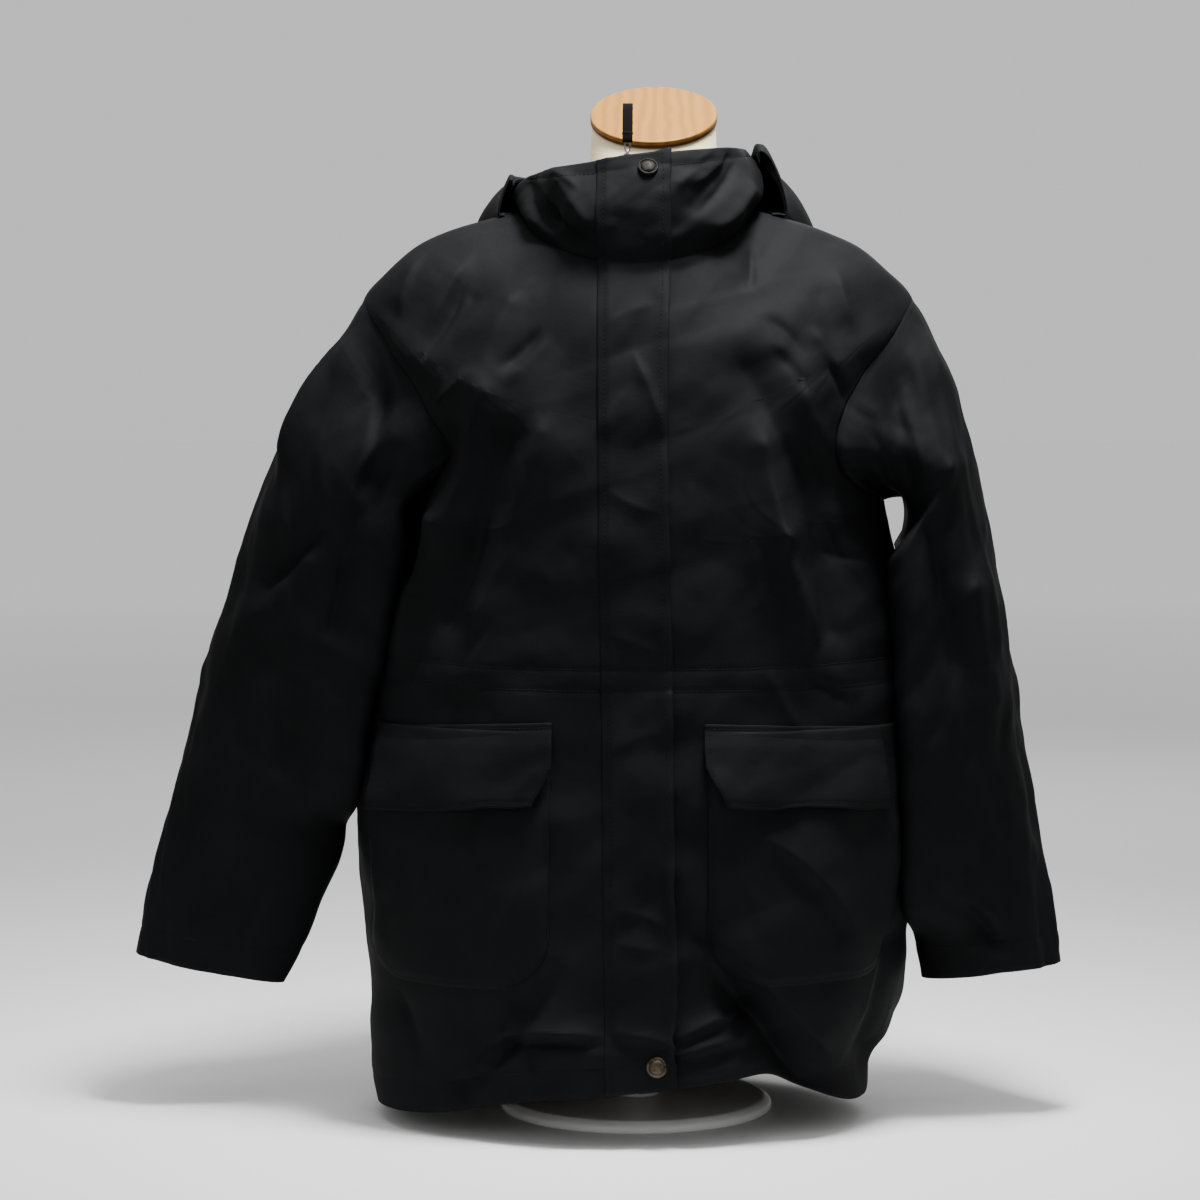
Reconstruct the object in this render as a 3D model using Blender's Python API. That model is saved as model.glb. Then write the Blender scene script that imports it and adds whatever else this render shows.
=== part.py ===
"""Women's hooded rain jacket on a limbless dress form.

Metres, +Z up. The jacket's front faces -Y and the wearer's left is +X. The origin is the centre
of the stand's underside. Every piece of cloth is a wall of one thickness, cut where a maker cuts
it, and neighbours at a seam share the same row of points, moved apart by the seam gap.
"""
import math

import bmesh
import bpy
import numpy as np

# ---------------------------------------------------------------- driving sizes (metres)
CLOTH = 0.0015           # one layer of shell fabric with its facing
SEAM_GAP = 0.0003        # between pieces that meet edge to edge
LIE_GAP = 0.0010         # under a piece that lies on a panel
NUDGE = 1e-4             # step for slopes, in radians or metres

ROWS_SHOULDER = 5        # grid rows from neckline to shoulder tip
ROWS_ARMHOLE = 8         # grid rows along the armhole
ROWS_SIDE = 20           # grid rows from armpit to hem
COLUMNS_FRONT = 16       # grid columns over one front
COLUMNS_BACK = 18        # grid columns over the back

TIP = 0.155              # distance down the panel to the shoulder tip
PIT = 0.311              # distance down the panel to the armpit
HEM = 0.790              # distance down the panel to the hem
HEM_LEVEL = 0.030        # height of the hem ring before the hem line bends it
HEM_FADE = 0.56          # distance down where the hem line starts to bend the rings
SCYE_FRONT = math.radians(40)    # how far the armhole bites into the front
SCYE_BACK = math.radians(35)     # and into the back

ZIP_HALF = 0.0072        # half width of the zip tape between the fronts
ZIP_TOP = 0.92           # the zip's top end, as a share of the collar's height
FORM_GAP = 0.0010        # under the shoulders, where the jacket hangs on the form
POCKET_GAP = 0.0010      # under a pocket's edge
POCKET_PUFF = 0.004      # how much further a pocket's middle stands off the front
POCKET_RING = 0.60       # the body ring on which a pocket's columns are spaced

FACE_BLEND = 0.25        # cosine of the turn at which the front's and back's folds are full
COLLAR_BLEND = 0.30      # the same for the collar
COLLAR_FOLD_FROM = 0.25  # share of the collar's height over which its folds grow
SLEEVE_BLEND = 0.5       # the same for a sleeve, as a sine
SLEEVE_FOLD_FROM = 0.03  # length of sleeve over which its folds grow
STORM_ABOVE_HEM = 0.0015     # the storm flap ends this far above the hem
ZIP_ABOVE_HEM = 0.012        # and the zip this far
LEAST_ROW = 0.004        # rows of a strip are at least this far apart at its lower end

# ---------------------------------------------------------------- short tables
BODY_COLUMNS = ("down", "z_front", "z_side", "z_back", "half_left", "half_right",
                "depth_front", "depth_back", "square", "dip")
BODY_RINGS = (           # square < 1 flattens front and back, dip shapes the fall to the front
    (0.000, 0.694, 0.740, 0.744, 0.0940, 0.0920, 0.1000, 0.076, 1.00, 1.2),
    (0.035, 0.668, 0.7325, 0.730, 0.1220, 0.1210, 0.1090, 0.090, 1.00, 1.4),
    (0.075, 0.637, 0.7210, 0.708, 0.1560, 0.1580, 0.1180, 0.104, 0.98, 1.7),
    (0.105, 0.612, 0.708, 0.688, 0.1830, 0.1820, 0.1245, 0.111, 0.96, 2.0),
    (0.130, 0.590, 0.690, 0.670, 0.2050, 0.2030, 0.1290, 0.117, 0.95, 2.0),
    (0.155, 0.569, 0.666, 0.649, 0.2230, 0.2210, 0.1325, 0.121, 0.94, 2.0),
    (0.195, 0.540, 0.622, 0.612, 0.2130, 0.2090, 0.1370, 0.125, 0.93, 2.0),
    (0.235, 0.516, 0.580, 0.575, 0.2050, 0.1970, 0.1390, 0.127, 0.93, 2.0),
    (0.275, 0.494, 0.540, 0.540, 0.2010, 0.1880, 0.1400, 0.129, 0.93, 2.0),
    (0.311, 0.470, 0.504, 0.506, 0.2020, 0.1860, 0.1405, 0.130, 0.92, 2.0),
    (0.355, 0.440, 0.463, 0.464, 0.2095, 0.1914, 0.1410, 0.131, 0.91, 2.0),
    (0.410, 0.398, 0.410, 0.410, 0.2155, 0.2030, 0.1420, 0.132, 0.90, 2.0),
    (0.445, 0.371, 0.375, 0.375, 0.2185, 0.2100, 0.1420, 0.132, 0.90, 2.0),
    (0.520, 0.300, 0.300, 0.300, 0.2222, 0.2260, 0.1460, 0.137, 0.90, 2.0),
    (0.600, 0.222, 0.222, 0.222, 0.2243, 0.2275, 0.1500, 0.141, 0.89, 2.0),
    (0.665, 0.156, 0.156, 0.156, 0.2235, 0.2225, 0.1520, 0.144, 0.88, 2.0),
    (0.713, 0.109, 0.109, 0.109, 0.2192, 0.2177, 0.1530, 0.146, 0.88, 2.0),
    (0.748, 0.0745, 0.0745, 0.0745, 0.2063, 0.2178, 0.1540, 0.147, 0.88, 2.0),
    (0.765, 0.058, 0.058, 0.058, 0.1950, 0.2172, 0.1545, 0.148, 0.88, 2.0),
    (0.790, HEM_LEVEL, HEM_LEVEL, HEM_LEVEL, 0.1910, 0.2130, 0.1550, 0.149, 0.88, 2.0),
)

HEM_COLUMNS = ("turn", "height")     # degrees round from centre front, + to the wearer's left
HEM_LINE = (
    (-180, 0.014), (-150, 0.015), (-120, 0.013), (-90, 0.011), (-65, 0.015), (-42, 0.021),
    (-20, 0.036), (0, 0.0435), (20, 0.053), (33, 0.056), (44, 0.044), (60, 0.028),
    (90, 0.020), (120, 0.019), (150, 0.016), (180, 0.014),
)

COLLAR_COLUMNS = ("up", "z_front", "z_side", "z_back", "half_left", "half_right",
                  "depth_front", "depth_back", "dip")
COLLAR_RINGS = (
    (0.00, 0.694, 0.740, 0.744, 0.0940, 0.0920, 0.1000, 0.0760, 1.2),
    (0.25, 0.714, 0.750, 0.751, 0.1010, 0.0980, 0.1060, 0.0750, 1.2),
    (0.50, 0.736, 0.760, 0.758, 0.1025, 0.0985, 0.1065, 0.0740, 1.4),
    (0.75, 0.757, 0.769, 0.764, 0.0980, 0.0950, 0.1005, 0.0730, 1.7),
    (1.00, 0.7775, 0.777, 0.768, 0.0900, 0.0880, 0.0925, 0.0720, 2.0),
)
COLLAR_TILT = 0.011      # the wearer's left side of the rim stands this much higher
COLLAR_ROWS = 6

# clear is how far the inner line stands off the body's side
SLEEVE_COLUMNS = ("along", "out_x", "out_z", "clear", "in_z", "depth")
SLEEVE_RIGHT = (
    (0.000, 0.2210, 0.6660, 0.0000, 0.5040, 0.080),
    (0.012, 0.2302, 0.6505, 0.0025, 0.5055, 0.081),
    (0.030, 0.2417, 0.6340, 0.0035, 0.4980, 0.082),
    (0.065, 0.2633, 0.6015, 0.0025, 0.4840, 0.080),
    (0.100, 0.2816, 0.5688, 0.0022, 0.4680, 0.076),
    (0.135, 0.2975, 0.5360, 0.0022, 0.4500, 0.071),
    (0.170, 0.3109, 0.5030, 0.0022, 0.4300, 0.066),
    (0.240, 0.3329, 0.4370, 0.0022, 0.3850, 0.057),
    (0.310, 0.3532, 0.3710, 0.0022, 0.3350, 0.049),
    (0.380, 0.3712, 0.3046, 0.0030, 0.2800, 0.042),
    (0.450, 0.3884, 0.2380, 0.0105, 0.2250, 0.036),
    (0.520, 0.4056, 0.1710, 0.0405, 0.1600, 0.030),
    (0.565, 0.4150, 0.1275, 0.0725, 0.1035, 0.024),
)
SLEEVE_LEFT = (
    (0.000, 0.2230, 0.6660, 0.0000, 0.5040, 0.080),
    (0.012, 0.2339, 0.6502, 0.0040, 0.5055, 0.082),
    (0.030, 0.2438, 0.6340, 0.0105, 0.5000, 0.083),
    (0.065, 0.2569, 0.6015, 0.0122, 0.4880, 0.083),
    (0.100, 0.2644, 0.5691, 0.0085, 0.4730, 0.081),
    (0.135, 0.2736, 0.5365, 0.0032, 0.4560, 0.079),
    (0.170, 0.2803, 0.5040, 0.0022, 0.4360, 0.077),
    (0.240, 0.2930, 0.4388, 0.0022, 0.3880, 0.073),
    (0.310, 0.3048, 0.3733, 0.0022, 0.3380, 0.067),
    (0.380, 0.3167, 0.3078, 0.0025, 0.2820, 0.060),
    (0.450, 0.3287, 0.2420, 0.0030, 0.2250, 0.051),
    (0.520, 0.3423, 0.1761, 0.0045, 0.1650, 0.040),
    (0.565, 0.3501, 0.1265, 0.0149, 0.1123, 0.029),
)
SLEEVE_STATIONS = (0.0, 0.010, 0.020, 0.032, 0.048, 0.066, 0.086, 0.108, 0.132, 0.158, 0.186,
                   0.216, 0.248, 0.282, 0.318, 0.354, 0.390, 0.426, 0.462, 0.498, 0.534, 0.565)
CAP_FADE = 0.10          # the armhole's own bend dies out over this length of sleeve

FOLD_COLUMNS = ("x0", "z0", "x1", "z1", "width", "height")
FRONT_FOLDS = (          # seen from the front; + stands out, - is a trough
    (-0.112, 0.590, -0.150, 0.490, 0.017, 0.0060),
    (-0.150, 0.490, -0.186, 0.385, 0.016, 0.0050),
    (-0.150, 0.560, -0.184, 0.450, 0.014, -0.0050),
    (-0.070, 0.560, -0.118, 0.420, 0.017, 0.0045),
    (-0.098, 0.560, -0.146, 0.410, 0.015, -0.0055),
    (-0.128, 0.668, -0.150, 0.612, 0.018, -0.0042),
    (-0.096, 0.660, -0.122, 0.596, 0.017, 0.0038),
    (0.103, 0.550, 0.116, 0.480, 0.017, 0.0055),
    (0.116, 0.480, 0.138, 0.400, 0.016, 0.0060),
    (0.136, 0.530, 0.158, 0.405, 0.017, -0.0055),
    (0.118, 0.625, 0.148, 0.555, 0.018, 0.0038),
    (0.092, 0.610, 0.122, 0.545, 0.017, -0.0040),
    (0.150, 0.670, 0.160, 0.625, 0.017, -0.0030),
    (0.060, 0.165, 0.095, 0.110, 0.018, -0.0060),
    (0.095, 0.110, 0.148, 0.045, 0.019, -0.0085),
    (0.212, 0.150, 0.190, 0.060, 0.018, -0.0075),
    (-0.086, 0.108, -0.135, 0.045, 0.018, -0.0065),
    (-0.080, 0.080, -0.020, 0.076, 0.016, 0.0035),
)
BACK_FOLDS = (
    (0.125, 0.560, 0.150, 0.450, 0.018, 0.0055),
    (0.150, 0.450, 0.176, 0.350, 0.017, 0.0045),
    (0.098, 0.550, 0.124, 0.430, 0.016, -0.0050),
    (-0.120, 0.560, -0.150, 0.440, 0.018, 0.0055),
    (-0.094, 0.540, -0.120, 0.420, 0.016, -0.0050),
    (-0.024, 0.480, 0.004, 0.390, 0.018, -0.0040),
    (-0.055, 0.230, -0.088, 0.040, 0.020, -0.0075),
    (0.050, 0.240, 0.080, 0.040, 0.020, 0.0065),
    (0.128, 0.190, 0.146, 0.040, 0.019, -0.0070),
    (-0.150, 0.200, -0.162, 0.040, 0.019, 0.0060),
)
COLLAR_FOLDS = (
    (-0.089, 0.757, -0.066, 0.734, 0.0110, -0.0070),
    (-0.066, 0.734, -0.045, 0.708, 0.0110, -0.0060),
    (-0.060, 0.764, -0.036, 0.726, 0.0110, 0.0050),
    (-0.082, 0.738, -0.062, 0.716, 0.0110, 0.0050),
    (0.090, 0.750, 0.066, 0.722, 0.0110, 0.0055),
    (0.078, 0.778, 0.048, 0.738, 0.0130, -0.0045),
    (0.060, 0.780, 0.038, 0.756, 0.0110, 0.0035),
)
SLEEVE_RIGHT_FOLDS = (
    (-0.253, 0.481, -0.298, 0.439, 0.013, -0.0050),
    (-0.262, 0.455, -0.302, 0.412, 0.014, 0.0030),
    (-0.226, 0.640, -0.283, 0.545, 0.015, 0.0040),
    (-0.196, 0.620, -0.206, 0.520, 0.016, -0.0065),
    (-0.218, 0.490, -0.236, 0.400, 0.015, -0.0045),
    (-0.250, 0.380, -0.285, 0.290, 0.015, -0.0040),
)
SLEEVE_LEFT_FOLDS = (
    (0.215, 0.640, 0.250, 0.530, 0.014, 0.0045),
    (0.250, 0.530, 0.269, 0.434, 0.014, 0.0045),
    (0.269, 0.434, 0.290, 0.344, 0.014, 0.0045),
    (0.192, 0.600, 0.220, 0.520, 0.015, -0.0060),
    (0.236, 0.480, 0.254, 0.380, 0.014, -0.0045),
    (0.250, 0.182, 0.292, 0.150, 0.013, -0.0045),
)

# turn in degrees from centre back, + to the left; rim is the rim's share of the rise,
# mouth how far the rim lies down the back, as a share of the reach
HOOD_COLUMNS = ("turn", "base", "reach", "rise", "rim", "mouth")
HOOD_SPREAD = (
    (-95, 0.018, 0.024, 0.026, 1.00, 0.00),
    (-85, 0.018, 0.027, 0.028, 1.00, 0.00),
    (-72, 0.017, 0.036, 0.030, 0.95, 0.00),
    (-58, 0.015, 0.062, 0.035, 0.80, 0.05),
    (-40, 0.011, 0.128, 0.046, 0.80, 0.20),
    (-20, 0.008, 0.202, 0.054, 0.90, 0.30),
    (0, 0.006, 0.232, 0.056, 1.00, 0.31),
    (20, 0.008, 0.210, 0.057, 0.92, 0.28),
    (40, 0.011, 0.143, 0.054, 0.82, 0.18),
    (58, 0.015, 0.070, 0.047, 0.80, 0.05),
    (72, 0.018, 0.043, 0.050, 0.95, 0.00),
    (85, 0.019, 0.038, 0.053, 1.00, 0.00),
    (95, 0.021, 0.037, 0.048, 1.00, 0.00),
)
HOOD_TURNS = 0.55        # path at which the cloth has turned back up towards the rim
HOOD_GAP = 0.0014        # under the hood's lower layer
HOOD_STANDS = (35.0, 65.0)   # degrees from centre back between which the hood turns upright
HOOD_FOLD_FROM = 0.1     # path past the turn over which its folds grow
HOOD_LEAN = 0.26         # over the shoulders the hood stands up and leans to the collar
HOOD_SECTION_COLUMNS = ("path", "share", "lift")   # share of the reach, share of the rise
HOOD_SECTION = (
    (0.00, 0.00, 0.000),
    (0.12, 0.30, 0.030),
    (0.24, 0.62, 0.050),
    (0.36, 0.90, 0.085),
    (0.44, 1.03, 0.250),
    (0.52, 1.03, 0.560),
    (0.64, 0.82, 0.900),
    (0.78, 0.50, 1.080),
    (0.90, 0.20, 1.060),
    (1.00, 0.03, 0.900),
)
HOOD_FOLDS = (           # places as (turn / 100, path), on the outer layer only
    (-0.06, 0.62, 0.02, 0.95, 0.090, -0.0080),
    (0.22, 0.62, 0.36, 0.92, 0.090, -0.0070),
    (-0.34, 0.64, -0.30, 0.90, 0.090, -0.0070),
    (0.10, 0.66, 0.16, 0.90, 0.080, 0.0050),
)
HOOD_ACROSS = 22         # grid columns round the hood
HOOD_ALONG = 13          # grid rows over its cross section

# Pocket outlines seen from the front: inner and outer side, top, bottom, corner radii
POCKETS = {
    "pocket_left": {"side": 1, "x_in": 0.061, "x_out": 0.2120, "z_top": 0.327,
                    "z_bottom": 0.1275, "r_in": 0.045, "r_out": 0.030},
    "pocket_right": {"side": -1, "x_in": 0.063, "x_out": 0.2130, "z_top": 0.327,
                     "z_bottom": 0.1230, "r_in": 0.045, "r_out": 0.030},
}
# Flap outlines: the inner lower corner is cut off by cut_x and cut_z
FLAPS = {
    "pocket_flap_left": {"side": 1, "x_in": 0.0587, "x_out": 0.1965, "z_in": 0.3335,
                         "z_out": 0.3265, "drop": 0.064, "cut_x": 0.0160, "cut_z": 0.030},
    "pocket_flap_right": {"side": -1, "x_in": 0.0611, "x_out": 0.2045, "z_in": 0.3340,
                          "z_out": 0.3250, "drop": 0.066, "cut_x": 0.0130, "cut_z": 0.031},
}
STORM_COLUMNS = ("z", "x_right", "x_left")
STORM_FLAP = (
    (0.030, -0.0180, 0.0375),
    (0.300, -0.0215, 0.0335),
    (0.586, -0.0257, 0.0286),
    (0.700, -0.0270, 0.0290),
    (0.800, -0.0285, 0.0290),
)

FORM_RINGS = (           # (ring of the jacket's body, extra inset away from the shoulder ridge)
    (0.030, 0.0100), (0.050, 0.0110), (0.075, 0.0120), (0.100, 0.0130), (0.122, 0.0150),
    (0.142, 0.0200), (0.160, 0.0250), (0.185, 0.0240), (0.215, 0.0220), (0.250, 0.0240),
    (0.290, 0.0290), (0.340, 0.0370), (0.400, 0.0440), (0.450, 0.0400), (0.500, 0.0330),
)
RIDGE_SPREAD = math.radians(30)      # the jacket bears on the form this far round the shoulder
RIDGE_END = 0.105                    # and down to here
NECK_RINGS = (           # (height, radius, y of the centre)
    (0.785, 0.0510, -0.010),
    (0.762, 0.0530, -0.006),
)
NECK_SLOPE = 0.45        # the highest neck ring falls to the front by this much of its depth
NECK_BASE = 0.74         # the neck's foot is the jacket's neckline at this scale
NECK_DROP = 0.003        # and this much lower
FORM_AROUND = 32         # points in one ring of the form

NECK_X = 0.0145          # the form's neck stands a little to the wearer's left
CAP_RADIUS = 0.0515
CAP_THICK = 0.011
CAP_EDGE = 0.0015        # the cap's rounded edge
CAP_TILT = math.radians(30)
CAP_CENTRE = (NECK_X, -0.012, 0.8165)    # centre of the cap's upper face
POLE_RADIUS = 0.014
BASE_RADIUS = 0.112
BASE_THICK = 0.010
BASE_EDGE = 0.0035
STAND_Y = 0.012          # pole and base stand a little behind the middle

SNAP_RADIUS = 0.0083
SNAP_GAP = 0.0006        # under a snap's flat back
SNAP_PLACES = {"snap_top": (0.0122, 0.7641), "snap_hem": (0.0221, 0.0655)}
SNAP_PROFILE = ((1.00, 0.0), (1.00, 0.0010), (0.90, 0.0017), (0.66, 0.0018), (0.56, 0.0026),
                (0.30, 0.0031))

PULL_X = -0.0040         # the zip slider's place across the front
SLIDER_SIZE = (0.0062, 0.0060, 0.0085)
LINK_SIZE = (0.0052, 0.0014, 0.0100)
TAPE_SIZE = (0.0085, 0.0014, 0.0295)
PULL_LEAN = math.radians(12)
BLOCK_BEVEL = 0.35       # share of a block's least half size
HINGE_CLEAR = 0.0012     # hinge above the slider's top
LINK_BELOW = 0.0009      # the link reaches this far below its hinge

COLOURS = {              # base colour, roughness, metallic
    "shell": ((0.012, 0.013, 0.017), 0.62, 0.0),
    "trim": ((0.008, 0.008, 0.010), 0.80, 0.0),
    "snap": ((0.105, 0.095, 0.090), 0.38, 0.9),
    "steel": ((0.45, 0.45, 0.46), 0.30, 1.0),
    "form": ((0.78, 0.75, 0.66), 0.70, 0.0),
    "wood": ((0.62, 0.36, 0.16), 0.50, 0.0),
}


# ---------------------------------------------------------------- curves through tables
def smooth(knots, values, at):
    """Cubic curve through a column of a table, with the slopes of its neighbours."""
    knots = np.asarray(knots, float)
    values = np.asarray(values, float)
    slopes = np.gradient(values, knots)
    at = np.clip(at, knots[0], knots[-1])
    cell = np.clip(np.searchsorted(knots, at) - 1, 0, len(knots) - 2)
    span = knots[cell + 1] - knots[cell]
    t = (at - knots[cell]) / span
    rise = t * t * (3 - 2 * t)
    start = t * (1 - t) ** 2 * span * slopes[cell]
    end = t * t * (t - 1) * span * slopes[cell + 1]
    return values[cell] * (1 - rise) + values[cell + 1] * rise + start + end


def column(rows, names, name, at):
    """The named column of a table at a place along its first column."""
    table = np.asarray(rows, float)
    return smooth(table[:, 0], table[:, names.index(name)], at)


def ease(t):
    """0 to 1 with flat ends."""
    t = np.clip(t, 0.0, 1.0)
    return t * t * (3 - 2 * t)


def unit(v):
    return v / np.maximum(np.linalg.norm(v, axis=-1, keepdims=True), 1e-12)


def dot(a, b):
    return np.sum(a * b, axis=-1, keepdims=True)


def folds(rows, x, z):
    """Height of a list of soft folds, each a rounded bar from (x0, z0) to (x1, z1)."""
    total = np.zeros(np.broadcast(x, z).shape)
    for row in rows:
        fold = dict(zip(FOLD_COLUMNS, row))
        from_x, from_z = x - fold["x0"], z - fold["z0"]
        dx, dz = fold["x1"] - fold["x0"], fold["z1"] - fold["z0"]
        nearest = np.clip((from_x * dx + from_z * dz) / (dx * dx + dz * dz), 0.0, 1.0)
        away = np.hypot(from_x - nearest * dx, from_z - nearest * dz)
        total = total + fold["height"] * np.exp(-((away / fold["width"]) ** 2))
    return total


# ---------------------------------------------------------------- the jacket's body
def body_plain(turn, down):
    """The body's surface before folds. turn is radians from centre front, + to the left."""
    def ring(name):
        return column(BODY_RINGS, BODY_COLUMNS, name, down)
    side, ahead = np.sin(turn), np.cos(turn)
    power = ring("square")
    half = np.where(side > 0, ring("half_left"), ring("half_right"))
    depth = np.where(ahead > 0, ring("depth_front"), ring("depth_back"))
    x = half * np.sign(side) * np.abs(side) ** power
    y = -depth * np.sign(ahead) * np.abs(ahead) ** power
    end = np.where(ahead > 0, ring("z_front"), ring("z_back"))
    fall = np.abs(ahead) ** np.where(ahead > 0, ring("dip"), 2.0)
    z = ring("z_side") + (end - ring("z_side")) * fall
    degrees = (np.degrees(turn) + 180.0) % 360.0 - 180.0
    hem = column(HEM_LINE, HEM_COLUMNS, "height", degrees)
    z = z + (hem - HEM_LEVEL) * ease((down - HEM_FADE) / (HEM - HEM_FADE))
    return np.stack(np.broadcast_arrays(x, y, z), axis=-1)


def slope_normal(surface, a, b):
    """Outward normal of surface(a, b), where b runs down and a runs to the left."""
    across = surface(a + NUDGE, b) - surface(a - NUDGE, b)
    down = surface(a, b + NUDGE) - surface(a, b - NUDGE)
    return unit(np.cross(down, across))


def body(turn, down):
    """The body's surface with its main folds raised along the normal."""
    turn, down = np.broadcast_arrays(np.asarray(turn, float), np.asarray(down, float))
    plain = body_plain(turn, down)
    x, z = plain[..., 0], plain[..., 2]
    front = ease(np.cos(turn) / FACE_BLEND)
    back = ease(-np.cos(turn) / FACE_BLEND)
    raised = folds(FRONT_FOLDS, x, z) * front + folds(BACK_FOLDS, x, z) * back
    return plain + slope_normal(body_plain, turn, down) * raised[..., None]


def body_normal(turn, down):
    turn, down = np.broadcast_arrays(np.asarray(turn, float), np.asarray(down, float))
    return slope_normal(body, turn, down)


def turn_at_x(x, down):
    """The turn, on the front, where a ring reaches x."""
    power = column(BODY_RINGS, BODY_COLUMNS, "square", down)
    name_left = column(BODY_RINGS, BODY_COLUMNS, "half_left", down)
    name_right = column(BODY_RINGS, BODY_COLUMNS, "half_right", down)
    half = np.where(np.asarray(x) > 0, name_left, name_right)
    share = np.clip(np.abs(x) / half, 0.0, 0.9999)
    return np.sign(x) * np.arcsin(share ** (1.0 / power))


def find_on_front(x, z):
    """(turn, down) of the body's plain point that is seen at (x, z) from the front."""
    down = np.interp(-z, [-0.70, -0.03], [0.0, HEM]) + 0.0 * x
    for _ in range(30):
        turn = turn_at_x(x, down)
        here = body_plain(turn, down)[..., 2]
        below = body_plain(turn, down + NUDGE)[..., 2]
        step = (here - z) / np.maximum((here - below) / NUDGE, 0.3)
        down = np.clip(down + np.clip(step, -0.03, 0.03), 0.0, HEM)
    return turn_at_x(x, down), down


def scye(down, bite):
    """How far an armhole bites into a panel: half an ellipse from shoulder tip to armpit."""
    s = np.clip((down - TIP) / (PIT - TIP), 0.0, 1.0)
    return bite * 2.0 * np.sqrt(s * (1.0 - s))


def panel_rows():
    """Rows down a panel: even over the shoulder and side, as on a circle over the armhole."""
    shoulder = np.linspace(0.0, TIP, ROWS_SHOULDER + 1)
    angle = np.linspace(0.0, math.pi, ROWS_ARMHOLE + 1)
    armhole = TIP + (PIT - TIP) * (1.0 - np.cos(angle)) / 2.0
    side = np.linspace(PIT, HEM, ROWS_SIDE + 1)
    return np.concatenate([shoulder, armhole[1:], side[1:]])


ARMHOLE_ROWS = slice(ROWS_SHOULDER, ROWS_SHOULDER + ROWS_ARMHOLE + 1)


def edge_push(edge, normal, inside):
    """Unit vectors in the surface, out of a panel and square to its edge."""
    push = unit(np.cross(normal, np.gradient(edge, axis=0)))
    return push * np.sign(dot(push, edge - inside))


def front_turns(side, down):
    """Columns of one front at each row, from the zip to the side; side is 1 left, -1 right."""
    start = np.abs(turn_at_x(side * (ZIP_HALF + SEAM_GAP), down))
    end = math.pi / 2 - scye(down, SCYE_FRONT)
    share = np.linspace(0.0, 1.0, COLUMNS_FRONT + 1)
    return side * (start[:, None] + (end - start)[:, None] * share)


def back_turns(down):
    """Columns of the back at each row, from the left side seam round to the right."""
    bite = scye(down, SCYE_BACK)
    start, end = math.pi / 2 + bite, 3 * math.pi / 2 - bite
    share = np.linspace(0.0, 1.0, COLUMNS_BACK + 1)
    return start[:, None] + (end - start)[:, None] * share


def neck_offset(turn):
    """At the neckline the wall's inner side lies on the mitre of body and collar."""
    below = body_normal(turn, np.zeros_like(turn))
    above = collar_normal(turn, np.zeros_like(turn))
    return (below + above) / (1.0 + dot(below, above))


def panel(turns, down, sides):
    """Outer and inner grid of a body panel. sides are the columns that end at a seam."""
    rows = np.repeat(down[:, None], turns.shape[1], axis=1)
    outer = body(turns, rows)
    normal = body_normal(turns, rows)
    moved = np.zeros_like(outer)
    for edge, inside in sides:
        moved[:, edge] += edge_push(outer[:, edge], normal[:, edge], outer[:, inside])
    moved[0] += edge_push(outer[0], normal[0], outer[1])
    thick = normal.copy()
    thick[0] = neck_offset(turns[0])
    outer = outer - moved * SEAM_GAP / 2
    return outer, outer - thick * CLOTH


# ---------------------------------------------------------------- collar
def collar(turn, up):
    """The stand collar's surface, from the neckline (0) to its rim (1)."""
    turn, up = np.broadcast_arrays(np.asarray(turn, float), np.asarray(up, float))

    def ring(name):
        return column(COLLAR_RINGS, COLLAR_COLUMNS, name, up)
    side, ahead = np.sin(turn), np.cos(turn)
    x = np.where(side > 0, ring("half_left"), ring("half_right")) * side
    y = -np.where(ahead > 0, ring("depth_front"), ring("depth_back")) * ahead
    end = np.where(ahead > 0, ring("z_front"), ring("z_back"))
    fall = np.abs(ahead) ** np.where(ahead > 0, ring("dip"), 2.0)
    z = ring("z_side") + (end - ring("z_side")) * fall + COLLAR_TILT * up * side
    raised = folds(COLLAR_FOLDS, x, z) * ease(ahead / COLLAR_BLEND)
    raised = raised * ease(up / COLLAR_FOLD_FROM)
    outward = np.stack([side, -ahead, 0.0 * z], axis=-1)
    return np.stack([x, y, z], axis=-1) + outward * raised[..., None]


def collar_turn_at_x(x, up):
    """The turn, on the front, where the collar reaches x."""
    half_left = column(COLLAR_RINGS, COLLAR_COLUMNS, "half_left", up)
    half_right = column(COLLAR_RINGS, COLLAR_COLUMNS, "half_right", up)
    return np.arcsin(x / np.where(np.asarray(x) > 0, half_left, half_right))


def collar_normal(turn, up):
    turn, up = np.broadcast_arrays(np.asarray(turn, float), np.asarray(up, float))
    across = collar(turn + NUDGE, up) - collar(turn - NUDGE, up)
    rising = collar(turn, up + 0.01) - collar(turn, up - 0.01)
    return unit(np.cross(across, rising))


def collar_turns(up):
    """Columns of the collar at each row, from the zip round the back to the zip again."""
    share = np.linspace(0.0, 1.0, COLUMNS_FRONT + 1)
    halves = []
    for side, name in ((1, "half_left"), (-1, "half_right")):
        half = column(COLLAR_RINGS, COLLAR_COLUMNS, name, up)
        start = np.arcsin((ZIP_HALF + SEAM_GAP) / half)
        halves.append(side * (start[:, None] + (math.pi / 2 - start)[:, None] * share))
    back = np.repeat(back_turns(np.zeros(1)), len(up), axis=0)
    return np.concatenate([halves[0], back[:, 1:-1], halves[1][:, ::-1] + 2 * math.pi], axis=1)


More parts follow.
